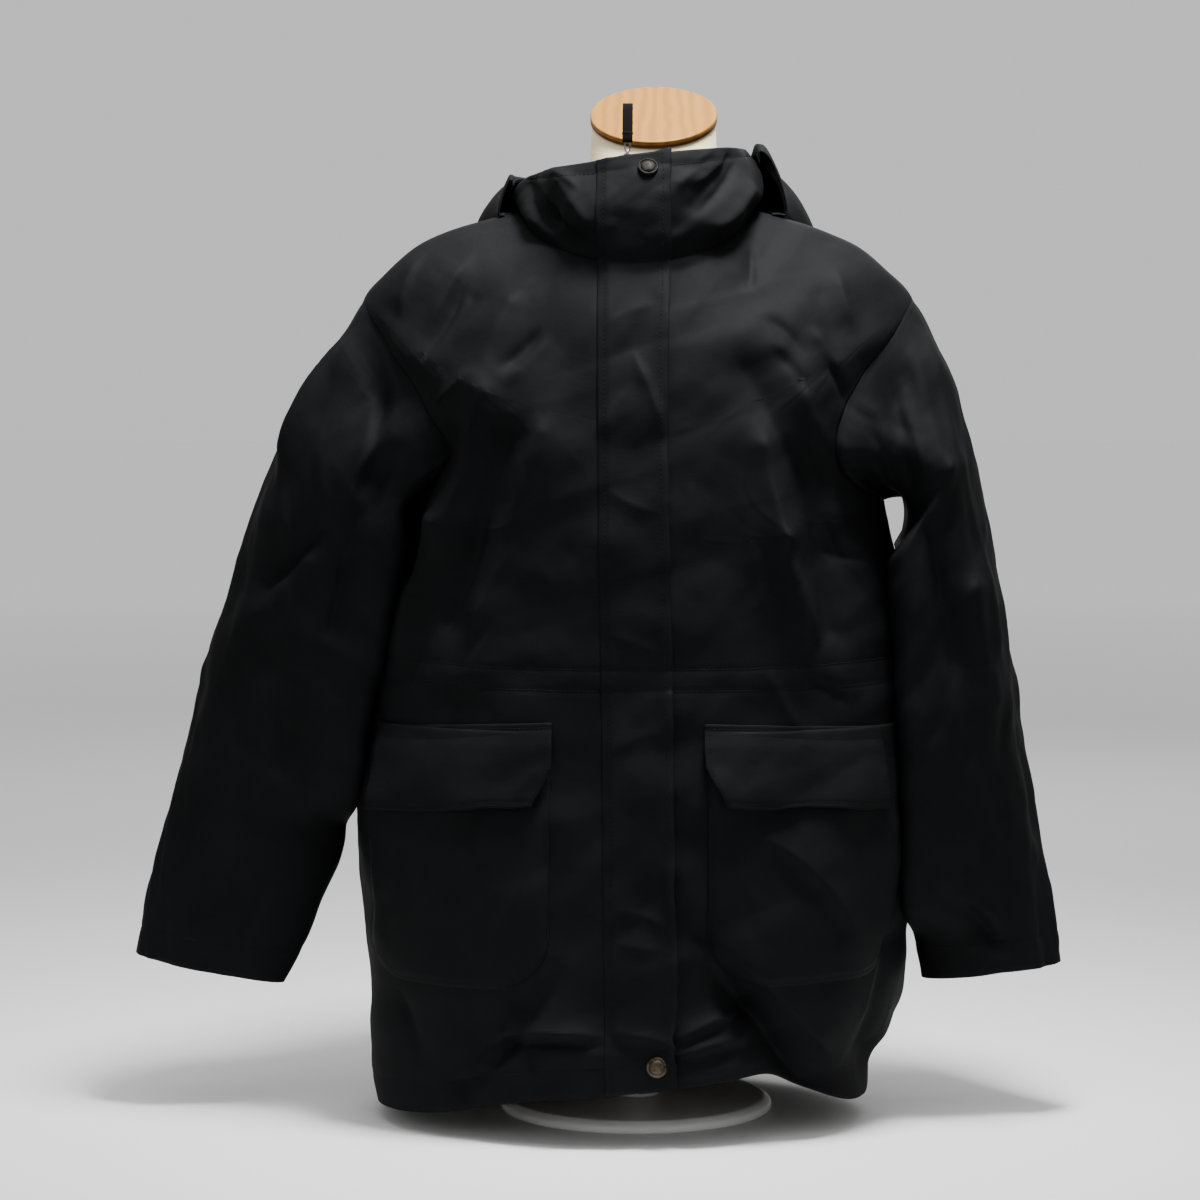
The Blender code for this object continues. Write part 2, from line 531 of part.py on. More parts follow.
def collar_piece():
    """The collar's turns are those of the fronts and the back, so the neck seam matches."""
    up = np.linspace(0.0, 1.0, COLLAR_ROWS + 1)
    grid_turn = collar_turns(up)
    grid_up = np.repeat(up[:, None], grid_turn.shape[1], axis=1)
    turns = grid_turn[0]
    outer = collar(grid_turn, grid_up)
    normal = collar_normal(grid_turn, grid_up)
    normal[0] = neck_offset(turns)
    push = edge_push(outer[0], normal[0], outer[1])
    outer[0] = outer[0] - push * SEAM_GAP / 2
    inner = outer - normal * CLOTH
    return outer[::-1], inner[::-1]


# ---------------------------------------------------------------- sleeves
def armhole_loop(side):
    """Points, body normals and outward pushes round one armhole: tip, front, armpit, back."""
    down = panel_rows()
    front = front_turns(side, down)
    back = back_turns(down)
    if side < 0:
        back = back[:, ::-1]
    parts = []
    for turns in (front[:, ::-1], back):
        edge = body(turns[:, 0], down)
        normal = body_normal(turns[:, 0], down)
        inside = body(turns[:, 1], down)
        push = edge_push(edge, normal, inside)
        parts.append([grid[ARMHOLE_ROWS] for grid in (edge, normal, push)])
    joined = []
    for ahead, behind in zip(parts[0], parts[1]):
        joined.append(np.concatenate([ahead, behind[-2:0:-1]]))
    points, normals, pushes = joined
    for corner in (0, ROWS_ARMHOLE):
        across = parts[0][2][corner and -1] + parts[1][2][corner and -1]
        pushes[corner] = unit(across)
    return points, unit(normals), pushes


def body_side(side, z):
    """How far the body reaches sideways at a height below the armpit."""
    down = np.linspace(PIT, HEM, 120)
    line = body_plain(np.full_like(down, side * math.pi / 2), down)
    return np.interp(-z, -line[:, 2], np.abs(line[:, 0]))


def sleeve_ring(table, side, angle, along):
    """A sleeve's plain ring: an oval from its outer to its inner line."""
    def line(name):
        return column(table, SLEEVE_COLUMNS, name, along)
    in_x = body_side(side, line("in_z")) + line("clear")
    middle_x, middle_z = (line("out_x") + in_x) / 2, (line("out_z") + line("in_z")) / 2
    reach_x, reach_z = (line("out_x") - in_x) / 2, (line("out_z") - line("in_z")) / 2
    x = side * (middle_x + reach_x * np.cos(angle))
    y = -line("depth") * np.sin(angle)
    z = middle_z + reach_z * np.cos(angle)
    return np.stack(np.broadcast_arrays(x, y, z), axis=-1)


def sleeve(table, side, fold_rows, angle, along, loop):
    """The sleeve's surface: its rings, bent to the armhole near the shoulder, with folds."""
    plain = sleeve_ring(table, side, angle, along)
    first = sleeve_ring(table, side, angle, np.zeros_like(along))
    bend = 1.0 - ease(along / CAP_FADE)
    plain = plain + (loop - first) * bend[..., None]
    centre = plain.mean(axis=1, keepdims=True)
    outward = unit(plain - centre)
    seen = ease(np.abs(np.sin(angle)) / SLEEVE_BLEND) * ease(along / SLEEVE_FOLD_FROM)
    raised = folds(fold_rows, plain[..., 0], plain[..., 2]) * seen
    return plain + outward * raised[..., None]


def grid_normals(points):
    """Outward normals of a closed grid of rings that run down, columns running round."""
    down = np.gradient(points, axis=0)
    across = np.roll(points, -1, axis=1) - np.roll(points, 1, axis=1)
    normal = unit(np.cross(down, across))
    outward = points - points.mean(axis=1, keepdims=True)
    return normal * np.sign(dot(normal, outward).mean())


def sleeve_piece(side, table, fold_rows):
    points, normals, pushes = armhole_loop(side)
    count = len(points)
    angle = np.linspace(0.0, 2 * math.pi, count, endpoint=False)
    angle, along = np.meshgrid(angle, np.asarray(SLEEVE_STATIONS))
    loop = np.broadcast_to(points, along.shape + (3,))
    outer = sleeve(table, side, fold_rows, angle, along, loop)
    normal = grid_normals(outer)
    normal[0] = normals
    outer[0] = outer[0] + pushes * SEAM_GAP / 2
    return outer, outer - normal * CLOTH


# ---------------------------------------------------------------- hood
def hood(turn, path):
    """The let-down hood's outer side: down the back, round its fold and up to its rim."""
    degrees = np.degrees(turn)
    base = column(HOOD_SPREAD, HOOD_COLUMNS, "base", degrees)
    reach = column(HOOD_SPREAD, HOOD_COLUMNS, "reach", degrees)
    rise = column(HOOD_SPREAD, HOOD_COLUMNS, "rise", degrees)
    share = column(HOOD_SECTION, HOOD_SECTION_COLUMNS, "share", path)
    rim = column(HOOD_SPREAD, HOOD_COLUMNS, "rim", degrees)
    lift = np.maximum(column(HOOD_SECTION, HOOD_SECTION_COLUMNS, "lift", path), 0.0)
    mouth = column(HOOD_SPREAD, HOOD_COLUMNS, "mouth", degrees)
    to_rim = ease((path - HOOD_TURNS) / (1.0 - HOOD_TURNS))
    lift = lift * (1.0 - (1.0 - rim) * to_rim)
    down = base + (reach - base) * (share + mouth * to_rim)
    spot = math.pi - turn
    square = slope_normal(body_plain, spot, down)
    upright = unit(np.stack([-HOOD_LEAN * np.sign(turn), 0.0 * turn, np.ones_like(turn)], axis=-1))
    lies, stands = HOOD_STANDS
    turned = ease((np.abs(degrees) - lies) / (stands - lies))[..., None]
    direction = unit(square * (1.0 - turned) + upright * turned)
    grown = ease((path - HOOD_TURNS) / HOOD_FOLD_FROM)
    raised = folds(HOOD_FOLDS, degrees / 100.0, path) * grown
    height = np.maximum(rise * lift + raised, 0.0)[..., None]
    return body(spot, down) + square * HOOD_GAP + direction * height


def hood_piece():
    turn = np.radians(np.linspace(HOOD_SPREAD[0][0], HOOD_SPREAD[-1][0], HOOD_ACROSS + 1))
    path = np.linspace(0.0, 1.0, HOOD_ALONG + 1)
    turn, path = np.meshgrid(turn, path)
    outer = hood(turn, path)
    down = np.gradient(outer, axis=0)
    across = np.gradient(outer, axis=1)
    normal = unit(np.cross(across, down))
    return outer, outer + normal * CLOTH


# ---------------------------------------------------------------- what lies on the front
def between(grid, row, cell):
    """A grid's values at fractional rows and columns."""
    r = np.clip(np.floor(row).astype(int), 0, grid.shape[0] - 2)
    c = np.clip(np.floor(cell).astype(int), 0, grid.shape[1] - 2)
    a, b = (row - r)[..., None], (cell - c)[..., None]
    upper = grid[r, c] * (1 - b) + grid[r, c + 1] * b
    lower = grid[r + 1, c] * (1 - b) + grid[r + 1, c + 1] * b
    return upper * (1 - a) + lower * a


def on_front(turn, down):
    """Points and normals on the fronts' own facets, so that what lies there follows them."""
    turn, down = np.broadcast_arrays(np.asarray(turn, float), np.asarray(down, float))
    rows = panel_rows()
    row = np.interp(down, rows, np.arange(len(rows)))
    points, normals = body(turn, down), body_normal(turn, down)
    for side in (1, -1):
        turns = front_turns(side, rows)
        grid_rows = np.repeat(rows[:, None], turns.shape[1], axis=1)
        first = np.interp(down, rows, turns[:, 0])
        last = np.interp(down, rows, turns[:, -1])
        cell = (turn - first) / (last - first) * COLUMNS_FRONT
        inside = (cell >= 0.0)[..., None]
        cell = np.maximum(cell, 0.0)
        points = np.where(inside, between(body(turns, grid_rows), row, cell), points)
        normal = unit(between(body_normal(turns, grid_rows), row, cell))
        normals = np.where(inside, normal, normals)
    return points, normals


def front_strip(columns_at, low, stop_up):
    """Points and normals of a strip that runs from the hem, over the collar, to the rim.

    columns_at(z) gives the x of the strip's columns at a height.
    """
    down = panel_rows()[::-1]
    down = np.concatenate([[low], down[down < low - LEAST_ROW]])
    x = columns_at(body_plain(np.zeros_like(down), down)[..., 2])
    rows = np.repeat(down[:, None], x.shape[1], axis=1)
    points, normals = on_front(turn_at_x(x, rows), rows)
    up = np.linspace(0.0, stop_up, COLLAR_ROWS + 1)[1:]
    x_up = columns_at(collar(np.zeros_like(up), up)[..., 2])
    rise = np.repeat(up[:, None], x.shape[1], axis=1)
    turns_up = collar_turn_at_x(x_up, rise)
    normals[len(down) - 1] = neck_offset(turn_at_x(x[-1], rows[-1]))
    points = np.concatenate([points, collar(turns_up, rise)])
    normals = np.concatenate([normals, collar_normal(turns_up, rise)])
    return points[::-1], normals[::-1]


def storm_columns(z):
    """The storm flap's edges, and the zip's edges between them."""
    right = column(STORM_FLAP, STORM_COLUMNS, "x_right", z)
    left = column(STORM_FLAP, STORM_COLUMNS, "x_left", z)
    zip_edge = np.full_like(z, ZIP_HALF + SEAM_GAP)
    return np.stack([right, -zip_edge, zip_edge, (left + zip_edge) / 2, left], axis=1)


def zip_columns(z):
    return np.outer(np.ones_like(z), [-ZIP_HALF, 0.0, ZIP_HALF])


def storm_flap_piece():
    points, normals = front_strip(storm_columns, HEM - STORM_ABOVE_HEM, 1.0)
    inner = points + normals * LIE_GAP
    return inner + normals * CLOTH, inner


def zip_piece():
    points, normals = front_strip(zip_columns, HEM - ZIP_ABOVE_HEM, ZIP_TOP)
    return points, points - normals * CLOTH


def spread(x_in, x_out, share):
    """Places from x_in to x_out that lie evenly round the body."""
    turn_in = turn_at_x(x_in, POCKET_RING)
    turn_out = turn_at_x(x_out, POCKET_RING)
    turns = turn_in + (turn_out - turn_in) * share
    return body_plain(turns, POCKET_RING + 0.0 * turns)[..., 0]


def pocket_piece(side, x_in, x_out, z_top, z_bottom, r_in, r_out):
    """A patch pocket with two round lower corners."""
    across, rows = 10, 9
    even = np.linspace(0.0, 1.0, across + 1)
    close_at_corners = (1.0 - np.cos(math.pi * even)) / 2.0
    share = (even + close_at_corners) / 2.0
    x = np.abs(spread(side * x_in, side * x_out, share))
    corner_in = np.clip(1 - (x - x_in) / r_in, 0.0, 1.0)
    corner_out = np.clip(1 - (x_out - x) / r_out, 0.0, 1.0)
    low = z_bottom + r_in * (1 - np.sqrt(1 - corner_in ** 2))
    low = low + r_out * (1 - np.sqrt(1 - corner_out ** 2))
    drop = np.linspace(0.0, 1.0, rows + 1)[:, None]
    z = z_top + (low - z_top) * drop
    x = np.broadcast_to(x, z.shape)
    points, normals = on_front(*find_on_front(side * x, z))
    puff = POCKET_PUFF * np.sqrt(np.sin(math.pi * share) * np.sin(math.pi * drop))
    inner = points + normals * (POCKET_GAP + puff)[..., None]
    return facing(inner, inner + normals * CLOTH, side)


def flap_piece(side, x_in, x_out, z_in, z_out, drop, cut_x, cut_z):
    """A pocket flap whose inner lower corner is cut off at a slant."""
    rows, across = 4, 7
    fall = np.linspace(0.0, 1.0, rows + 1)[:, None]
    share = np.linspace(0.0, 1.0, across + 1)
    past_elbow = np.clip((fall * drop - (drop - cut_z)) / cut_z, 0.0, 1.0)
    start = x_in + cut_x * past_elbow
    x = np.abs(spread(side * start, side * x_out, share))
    z = z_in + (z_out - z_in) * share - drop * fall
    points, normals = on_front(*find_on_front(side * x, z))
    over_pocket = POCKET_GAP + CLOTH + LIE_GAP + POCKET_PUFF * ease(fall / 0.5)
    inner = points + normals * (over_pocket + 0.0 * share)[..., None]
    return facing(inner, inner + normals * CLOTH, side)


def facing(inner, outer, side):
    """Outer and inner grid with columns that run to the wearer's left."""
    if side < 0:
        return outer[:, ::-1], inner[:, ::-1]
    return outer, inner


# ---------------------------------------------------------------- dress form
def form_grid():
    """Rings of the torso and neck, from the neck's top to the hip."""
    turn = np.linspace(0.0, 2 * math.pi, FORM_AROUND, endpoint=False)
    seat = np.asarray(CAP_CENTRE) - (CAP_THICK + SEAM_GAP) * cap_axis()
    radius = CAP_RADIUS - CAP_EDGE
    x = NECK_X + radius * np.sin(turn)
    y = seat[1] - radius * math.cos(CAP_TILT) * np.cos(turn)
    rings = [np.stack([x, y, seat[2] + math.tan(CAP_TILT) * (y - seat[1])], axis=-1)]
    for (z_ring, radius, y_ring), slope in zip(NECK_RINGS, (NECK_SLOPE, 0.0)):
        y = y_ring - radius * np.cos(turn)
        z = z_ring + slope * (y - y_ring)
        rings.append(np.stack([NECK_X + radius * np.sin(turn), y, z], axis=-1))
    foot = body_plain(turn, np.zeros_like(turn))
    x = NECK_X + (foot[:, 0] - NECK_X) * NECK_BASE
    rings.append(np.stack([x, foot[:, 1] * NECK_BASE, foot[:, 2] - NECK_DROP], axis=-1))
    for down, extra in FORM_RINGS:
        rows = np.full_like(turn, down)
        off_side = np.abs(np.abs((turn % math.pi) - math.pi / 2))
        bearing = np.exp(-((off_side / RIDGE_SPREAD) ** 4)) * (down < RIDGE_END)
        inset = CLOTH + FORM_GAP + extra * (1.0 - bearing)
        plain = body_plain(turn, rows)
        rings.append(plain - slope_normal(body_plain, turn, rows) * inset[:, None])
    rings[-1][:, 2] = rings[-1][:, 2].min()
    return np.array(rings)


def cap_axis():
    """The neck cap faces up and forward."""
    return np.array([0.0, -math.sin(CAP_TILT), math.cos(CAP_TILT)])


# ---------------------------------------------------------------- meshes
def material(kind):
    made = bpy.data.materials.get(kind)
    if made is None:
        colour, roughness, metallic = COLOURS[kind]
        made = bpy.data.materials.new(kind)
        made.use_nodes = True
        shader = made.node_tree.nodes["Principled BSDF"]
        shader.inputs["Base Color"].default_value = (*colour, 1.0)
        shader.inputs["Roughness"].default_value = roughness
        shader.inputs["Metallic"].default_value = metallic
    return made


def add_object(name, points, faces, kind, origin=(0.0, 0.0, 0.0), parent=None):
    """One closed mesh as one named object, with its faces turned out."""
    mesh = bpy.data.meshes.new(name)
    local = np.asarray(points) - np.asarray(origin)
    mesh.from_pydata([tuple(p) for p in local], [], [tuple(f) for f in faces])
    shape = bmesh.new()
    shape.from_mesh(mesh)
    bmesh.ops.recalc_face_normals(shape, faces=shape.faces)
    shape.to_mesh(mesh)
    shape.free()
    mesh.shade_smooth()
    mesh.set_sharp_from_angle(angle=math.radians(40))
    mesh.materials.append(material(kind))
    obj = bpy.data.objects.new(name, mesh)
    obj.location = origin
    bpy.context.scene.collection.objects.link(obj)
    if parent is not None:
        obj.parent = parent
        obj.location = (0.0, 0.0, 0.0)
    return obj


def add_wall(name, grids, kind, closed=False):
    """A cloth wall from its outer and inner grid; closed joins the last column to the first."""
    outer, inner = grids
    rows, columns = outer.shape[:2]
    index = np.arange(rows * columns).reshape(rows, columns)
    if closed:
        index = np.concatenate([index, index[:, :1]], axis=1)
    shift = rows * columns
    faces = []
    last_row, last_column = index.shape[0] - 1, index.shape[1] - 1
    for r in range(last_row):
        for c in range(last_column):
            a, b, d, e = index[r, c], index[r + 1, c], index[r + 1, c + 1], index[r, c + 1]
            faces.append((a, b, d, e))
            faces.append((a + shift, e + shift, d + shift, b + shift))
    for c in range(last_column):
        for r in (0, last_row):
            a, b = index[r, c], index[r, c + 1]
            faces.append((a, b, b + shift, a + shift) if r == 0 else (b, a, a + shift, b + shift))
    if not closed:
        for r in range(last_row):
            for c in (0, last_column):
                a, b = index[r, c], index[r + 1, c]
                faces.append((b, a, a + shift, b + shift) if c == 0
                             else (a, b, b + shift, a + shift))
    points = np.concatenate([outer.reshape(-1, 3), inner.reshape(-1, 3)])
    return add_object(name, points, faces, kind)


def add_rings(name, rings, kind):
    """A whole solid from a stack of rings, closed with a flat fan at each end."""
    count, around = rings.shape[:2]
    points = rings.reshape(-1, 3)
    index = np.arange(count * around).reshape(count, around)
    index = np.concatenate([index, index[:, :1]], axis=1)
    faces = []
    for r in range(count - 1):
        for c in range(around):
            faces.append((index[r, c], index[r + 1, c], index[r + 1, c + 1], index[r, c + 1]))
    faces.append(tuple(index[0, :-1]))
    faces.append(tuple(index[-1, :-1][::-1]))
    return add_object(name, points, faces, kind)


def frame_of(axis):
    """Two unit vectors square to an axis."""
    axis = unit(np.asarray(axis, float))
    first = unit(np.cross(axis, [1.0, 0.0, 0.0]) if abs(axis[0]) < 0.9 else
                 np.cross(axis, [0.0, 1.0, 0.0]))
    return first, np.cross(axis, first)


def add_turned(name, centre, axis, profile, kind, around=24):
    """A turned solid: profile is (radius, height along the axis), from low to high."""
    first, second = frame_of(axis)
    axis = unit(np.asarray(axis, float))
    angle = np.linspace(0.0, 2 * math.pi, around, endpoint=False)[:, None]
    rings = []
    for radius, height in profile:
        rings.append(np.asarray(centre) + axis * height
                     + radius * (np.cos(angle) * first + np.sin(angle) * second))
    return add_rings(name, np.array(rings), kind)


def add_block(name, centre, size, kind, pivot=(0.0, 0.0, 0.0), lean=0.0, parent=None):
    """A block with bevelled ends, leaning back about the X axis through a pivot."""
    half = np.asarray(size) / 2
    bevel = min(half) * BLOCK_BEVEL
    corners = []
    for height, inset in ((-half[2], bevel), (bevel - half[2], 0.0),
                          (half[2] - bevel, 0.0), (half[2], bevel)):
        x, y = half[0] - inset, half[1] - inset
        corners.append([(-x, -y, height), (x, -y, height), (x, y, height), (-x, y, height)])
    points = np.array(corners) + np.asarray(centre) - np.asarray(pivot)
    tilted = points.copy()
    tilted[..., 1] = points[..., 1] * math.cos(lean) + points[..., 2] * math.sin(lean)
    tilted[..., 2] = -points[..., 1] * math.sin(lean) + points[..., 2] * math.cos(lean)
    tilted = tilted + np.asarray(pivot)
    flat = tilted.reshape(-1, 3)
    faces = []
    for r in range(3):
        for c in range(4):
            n = (c + 1) % 4
            faces.append((4 * r + c, 4 * r + n, 4 * r + 4 + n, 4 * r + 4 + c))
    faces.append((3, 2, 1, 0))
    faces.append((12, 13, 14, 15))
    return add_object(name, flat, faces, kind, origin=pivot if parent else (0, 0, 0),
                      parent=parent)


# ---------------------------------------------------------------- the jacket
def make_panels():
    down = panel_rows()
    last, near = COLUMNS_FRONT, COLUMNS_FRONT - 1
    for side, name in ((1, "front_left"), (-1, "front_right")):
        outer, inner = panel(front_turns(side, down), down, [(last, near)])
        if side < 0:
            outer, inner = outer[:, ::-1], inner[:, ::-1]
        add_wall(name, (outer, inner), "shell")
    seams = [(0, 1), (COLUMNS_BACK, COLUMNS_BACK - 1)]
    add_wall("back", panel(back_turns(down), down, seams), "shell")


def make_sleeves():
    add_wall("sleeve_left", sleeve_piece(1, SLEEVE_LEFT, SLEEVE_LEFT_FOLDS), "shell", True)
    add_wall("sleeve_right", sleeve_piece(-1, SLEEVE_RIGHT, SLEEVE_RIGHT_FOLDS), "shell", True)


def make_snaps():
    for name, (x, z) in SNAP_PLACES.items():
        over = LIE_GAP + CLOTH + SNAP_GAP
        if name == "snap_top":
            up = (z - COLLAR_RINGS[0][1]) / (COLLAR_RINGS[-1][1] - COLLAR_RINGS[0][1])
            turn = collar_turn_at_x(x, up)
            normal = collar_normal(turn, up)
            centre = collar(turn, up) + normal * over
        else:
            turn, down = find_on_front(np.array(x), np.array(z))
            point, normal = on_front(turn, down)
            centre = point + normal * over
        profile = [(SNAP_RADIUS * share, height) for share, height in SNAP_PROFILE]
        add_turned(name, centre, normal, profile, "snap", 16)


def make_zip():
    add_wall("zip_tape", zip_piece(), "trim")
    zip_end = collar(np.array(0.0), np.array(ZIP_TOP))
    slider_y = collar(np.array(0.0), np.array(1.0))[1] + SLIDER_SIZE[1] / 2
    low = zip_end[2] + SEAM_GAP
    middle = (PULL_X, slider_y, low + SLIDER_SIZE[2] / 2)
    add_block("zip_slider", middle, SLIDER_SIZE, "steel")
    hinge = (PULL_X, slider_y, low + SLIDER_SIZE[2] + HINGE_CLEAR)
    pivot = bpy.data.objects.new("zip_pull_axis", None)
    pivot.location = hinge
    bpy.context.scene.collection.objects.link(pivot)
    link = (hinge[0], hinge[1], hinge[2] - LINK_BELOW + LINK_SIZE[2] / 2)
    add_block("zip_pull_link", link, LINK_SIZE, "steel", hinge, PULL_LEAN, parent=pivot)
    tape_z = link[2] + LINK_SIZE[2] / 2 + SEAM_GAP + TAPE_SIZE[2] / 2
    add_block("zip_pull_tape", (hinge[0], hinge[1], tape_z), TAPE_SIZE, "trim", hinge,
              PULL_LEAN, parent=pivot)


def make_form():
    rings = form_grid()
    add_rings("form_torso", rings, "form")
    axis = cap_axis()
    profile = [(CAP_RADIUS - CAP_EDGE, -CAP_THICK), (CAP_RADIUS, -CAP_THICK + CAP_EDGE),
               (CAP_RADIUS, -CAP_EDGE), (CAP_RADIUS - CAP_EDGE, 0.0)]
    add_turned("form_neck_cap", CAP_CENTRE, axis, profile, "wood", 40)
    top = rings[-1][0, 2] - SEAM_GAP
    foot = BASE_THICK + SEAM_GAP
    add_turned("form_pole", (0.0, STAND_Y, 0.0), (0, 0, 1),
               [(POLE_RADIUS, foot), (POLE_RADIUS, top)], "form", 20)
    add_turned("form_base", (0.0, STAND_Y, 0.0), (0, 0, 1),
               [(BASE_RADIUS, 0.0), (BASE_RADIUS, BASE_THICK - BASE_EDGE),
                (BASE_RADIUS - BASE_EDGE, BASE_THICK)], "form", 40)


def main():
    for old in list(bpy.data.objects):
        bpy.data.objects.remove(old, do_unlink=True)
    make_form()
    make_panels()
    make_sleeves()
    add_wall("collar", collar_piece(), "shell")
    add_wall("hood", hood_piece(), "shell")
    add_wall("storm_flap", storm_flap_piece(), "shell")
    make_zip()
    for name, row in POCKETS.items():
        add_wall(name, pocket_piece(**row), "shell")
    for name, row in FLAPS.items():
        add_wall(name, flap_piece(**row), "shell")
    make_snaps()


main()
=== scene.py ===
"""Looks of a women's hooded rain jacket that hangs on a limbless dress form.

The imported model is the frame. Every piece of cloth is a thin wall over two parameters, cut where a
maker cuts it: a ring table gives its broad form, and a relief in metres, raised along the normal,
gives its folds, creases, puckers and seams. Metres, +Z up, the jacket's front faces -Y and the
wearer's left is +X.
"""

import logging
import math
from dataclasses import dataclass
from enum import Enum
from typing import Callable, NamedTuple, Sequence

import bmesh
import bpy
import numpy as np
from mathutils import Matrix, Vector


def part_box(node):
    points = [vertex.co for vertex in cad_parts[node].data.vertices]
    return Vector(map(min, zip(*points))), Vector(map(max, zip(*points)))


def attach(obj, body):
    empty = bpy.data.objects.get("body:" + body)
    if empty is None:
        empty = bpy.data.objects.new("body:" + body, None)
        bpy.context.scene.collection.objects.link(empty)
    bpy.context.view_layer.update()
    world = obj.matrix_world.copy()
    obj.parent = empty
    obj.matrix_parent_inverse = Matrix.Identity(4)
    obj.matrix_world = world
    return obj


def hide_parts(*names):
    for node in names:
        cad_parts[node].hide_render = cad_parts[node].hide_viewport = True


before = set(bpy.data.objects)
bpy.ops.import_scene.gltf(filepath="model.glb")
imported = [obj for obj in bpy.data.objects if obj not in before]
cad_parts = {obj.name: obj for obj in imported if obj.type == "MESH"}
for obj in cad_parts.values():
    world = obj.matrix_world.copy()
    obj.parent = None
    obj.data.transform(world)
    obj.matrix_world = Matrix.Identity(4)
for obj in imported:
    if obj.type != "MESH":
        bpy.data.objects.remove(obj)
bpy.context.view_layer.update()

LOG = logging.getLogger("rain_jacket")
Array = np.ndarray
Piece = bpy.types.Object
Socket = bpy.types.NodeSocket
Material = bpy.types.Material
Pair = tuple[float, float]
Triple = tuple[float, float, float]

MM = 1000.0              # tables hold millimetres
CLOTH = 0.0015           # one layer of shell fabric with its facing
SEAM_GAP = 0.0003        # between pieces that meet edge to edge
LIE_GAP = 0.0010         # under a piece that lies on a panel
NUDGE = 1e-4             # step for slopes, in radians or metres
CREASE_TOP = 0.0012      # how round a crease's top is
CREASE_END = 0.35        # share of its length over which a crease fades in and out
FOLD_TOP = 0.25          # how round a fold's top is, as a share of its width
FOLD_SIDE = 0.72         # how fast its sides fall, as a share of its width
GROOVE = 0.0005          # how deep a topstitched line lies
HEM_GROOVE = 0.0006      # and one that holds a hem or a sleeve's seam


class Side(Enum):
    """The wearer's side, as the sign of X."""

    LEFT = 1
    RIGHT = -1


# --- curves, vectors and relief
def ease(t: Array) -> Array:
    """0 to 1 with flat ends: t squared times (3 - 2 t), clipped."""
    t = np.clip(t, 0.0, 1.0)
    return t * t * (3 - 2 * t)


def unit(v: Array) -> Array:
    """Vectors of length one: v divided by its length."""
    return v / np.maximum(np.linalg.norm(v, axis=-1, keepdims=True), 1e-12)


def dot(a: Array, b: Array) -> Array:
    """Scalar product along the last axis, which is kept."""
    return np.sum(a * b, axis=-1, keepdims=True)


def stack(x: Array, y: Array, z: Array) -> Array:
    """Points from their three coordinates, broadcast together."""
    return np.stack(np.broadcast_arrays(x, y, z), axis=-1)


def even(count: int) -> Array:
    """Shares from 0 to 1 in even steps."""
    return np.linspace(0.0, 1.0, count + 1)


def circle(count: int) -> Array:
    """Angles evenly round a circle, in radians."""
    return np.linspace(0.0, 2 * math.pi, count, endpoint=False)


def hump(away: Array, width: float) -> Array:
    """A bell: exp(-(away / width) squared)."""
    return np.exp(-((away / width) ** 2))


def both(a: Array, b: Array) -> tuple[Array, Array]:
    """Two parameters as arrays of one shape."""
    return np.broadcast_arrays(np.asarray(a, float), np.asarray(b, float))


def hermite(values: Array, start: Array, end: Array, cell: Array, t: Array) -> Array:
    """Cubic curve in a cell, t from 0 to 1, from its value to the next with both slopes."""
    rise = t * t * (3 - 2 * t)
    return (values[cell] * (1 - rise) + values[cell + 1] * rise
            + t * (1 - t) ** 2 * start + t * t * (t - 1) * end)


@dataclass(frozen=True)
class Table:
    """Rows with named columns. Between rows each column follows a cubic curve."""

    names: tuple[str, ...]
    rows: tuple[tuple[float, ...], ...]

    @classmethod
    def read(cls, names: str, plain: str, rows: Sequence[tuple[float, ...]]) -> "Table":
        """A table in metres from rows in millimetres, whose plain columns are numbers."""
        scale = [1.0 if name in plain.split() else MM for name in names.split()]
        return cls(tuple(names.split()), tuple(tuple(np.divide(row, scale)) for row in rows))

    def at(self, name: str, place: Array) -> Array:
        """A column's value at a place along the first column.

        Between two rows the curve is the cubic Hermite with the slopes of the neighbours.

        Args:
            name: the column.
            place: places along the first column.

        Returns:
            The values, in the shape of place.
        """
        rows = np.asarray(self.rows, float)
        knots, values = rows[:, 0], rows[:, self.names.index(name)]
        slopes = np.gradient(values, knots)
        place = np.clip(place, knots[0], knots[-1])
        cell = np.clip(np.searchsorted(knots, place) - 1, 0, len(knots) - 2)
        span = knots[cell + 1] - knots[cell]
        return hermite(values, span * slopes[cell], span * slopes[cell + 1], cell,
                       (place - knots[cell]) / span)


@dataclass(frozen=True)
class Rings(Table):
    """Ovals one below another, each with heights of its own in front, at the side and behind."""

    def half(self, side: Array, place: Array) -> Array:
        """Half the width at a place, to the side of the sign."""
        return np.where(side > 0, self.at("half_left", place), self.at("half_right", place))

    def oval(self, turn: Array, place: Array) -> Array:
        """Points of the ovals.

        x = half sign(sin turn) |sin turn|^square and y = -depth sign(cos turn) |cos turn|^square,
        while z falls from the side to the front or back as |cos turn| to the ring's dip.

        Args:
            turn: radians from centre front.
            place: places along the first column.

        Returns:
            Points.
        """
        side, ahead = np.sin(turn), np.cos(turn)
        power, z_side = self.at("square", place), self.at("z_side", place)
        depth, end = (np.where(ahead > 0, self.at(name + "_front", place),
                               self.at(name + "_back", place)) for name in ("depth", "z"))
        x = self.half(side, place) * np.sign(side) * np.abs(side) ** power
        y = -depth * np.sign(ahead) * np.abs(ahead) ** power
        fall = np.abs(ahead) ** np.where(ahead > 0, self.at("dip", place), 2.0)
        return stack(x, y, z_side + (end - z_side) * fall)

    def turn_at_x(self, x: Array, place: Array) -> Array:
        """The turn, on the front, where a ring reaches x: arcsin((|x| / half)^(1 / square))."""
        share = np.clip(np.abs(x) / self.half(np.asarray(x), place), 0.0, 0.9999)
        return np.sign(x) * np.arcsin(share ** (1.0 / self.at("square", place)))


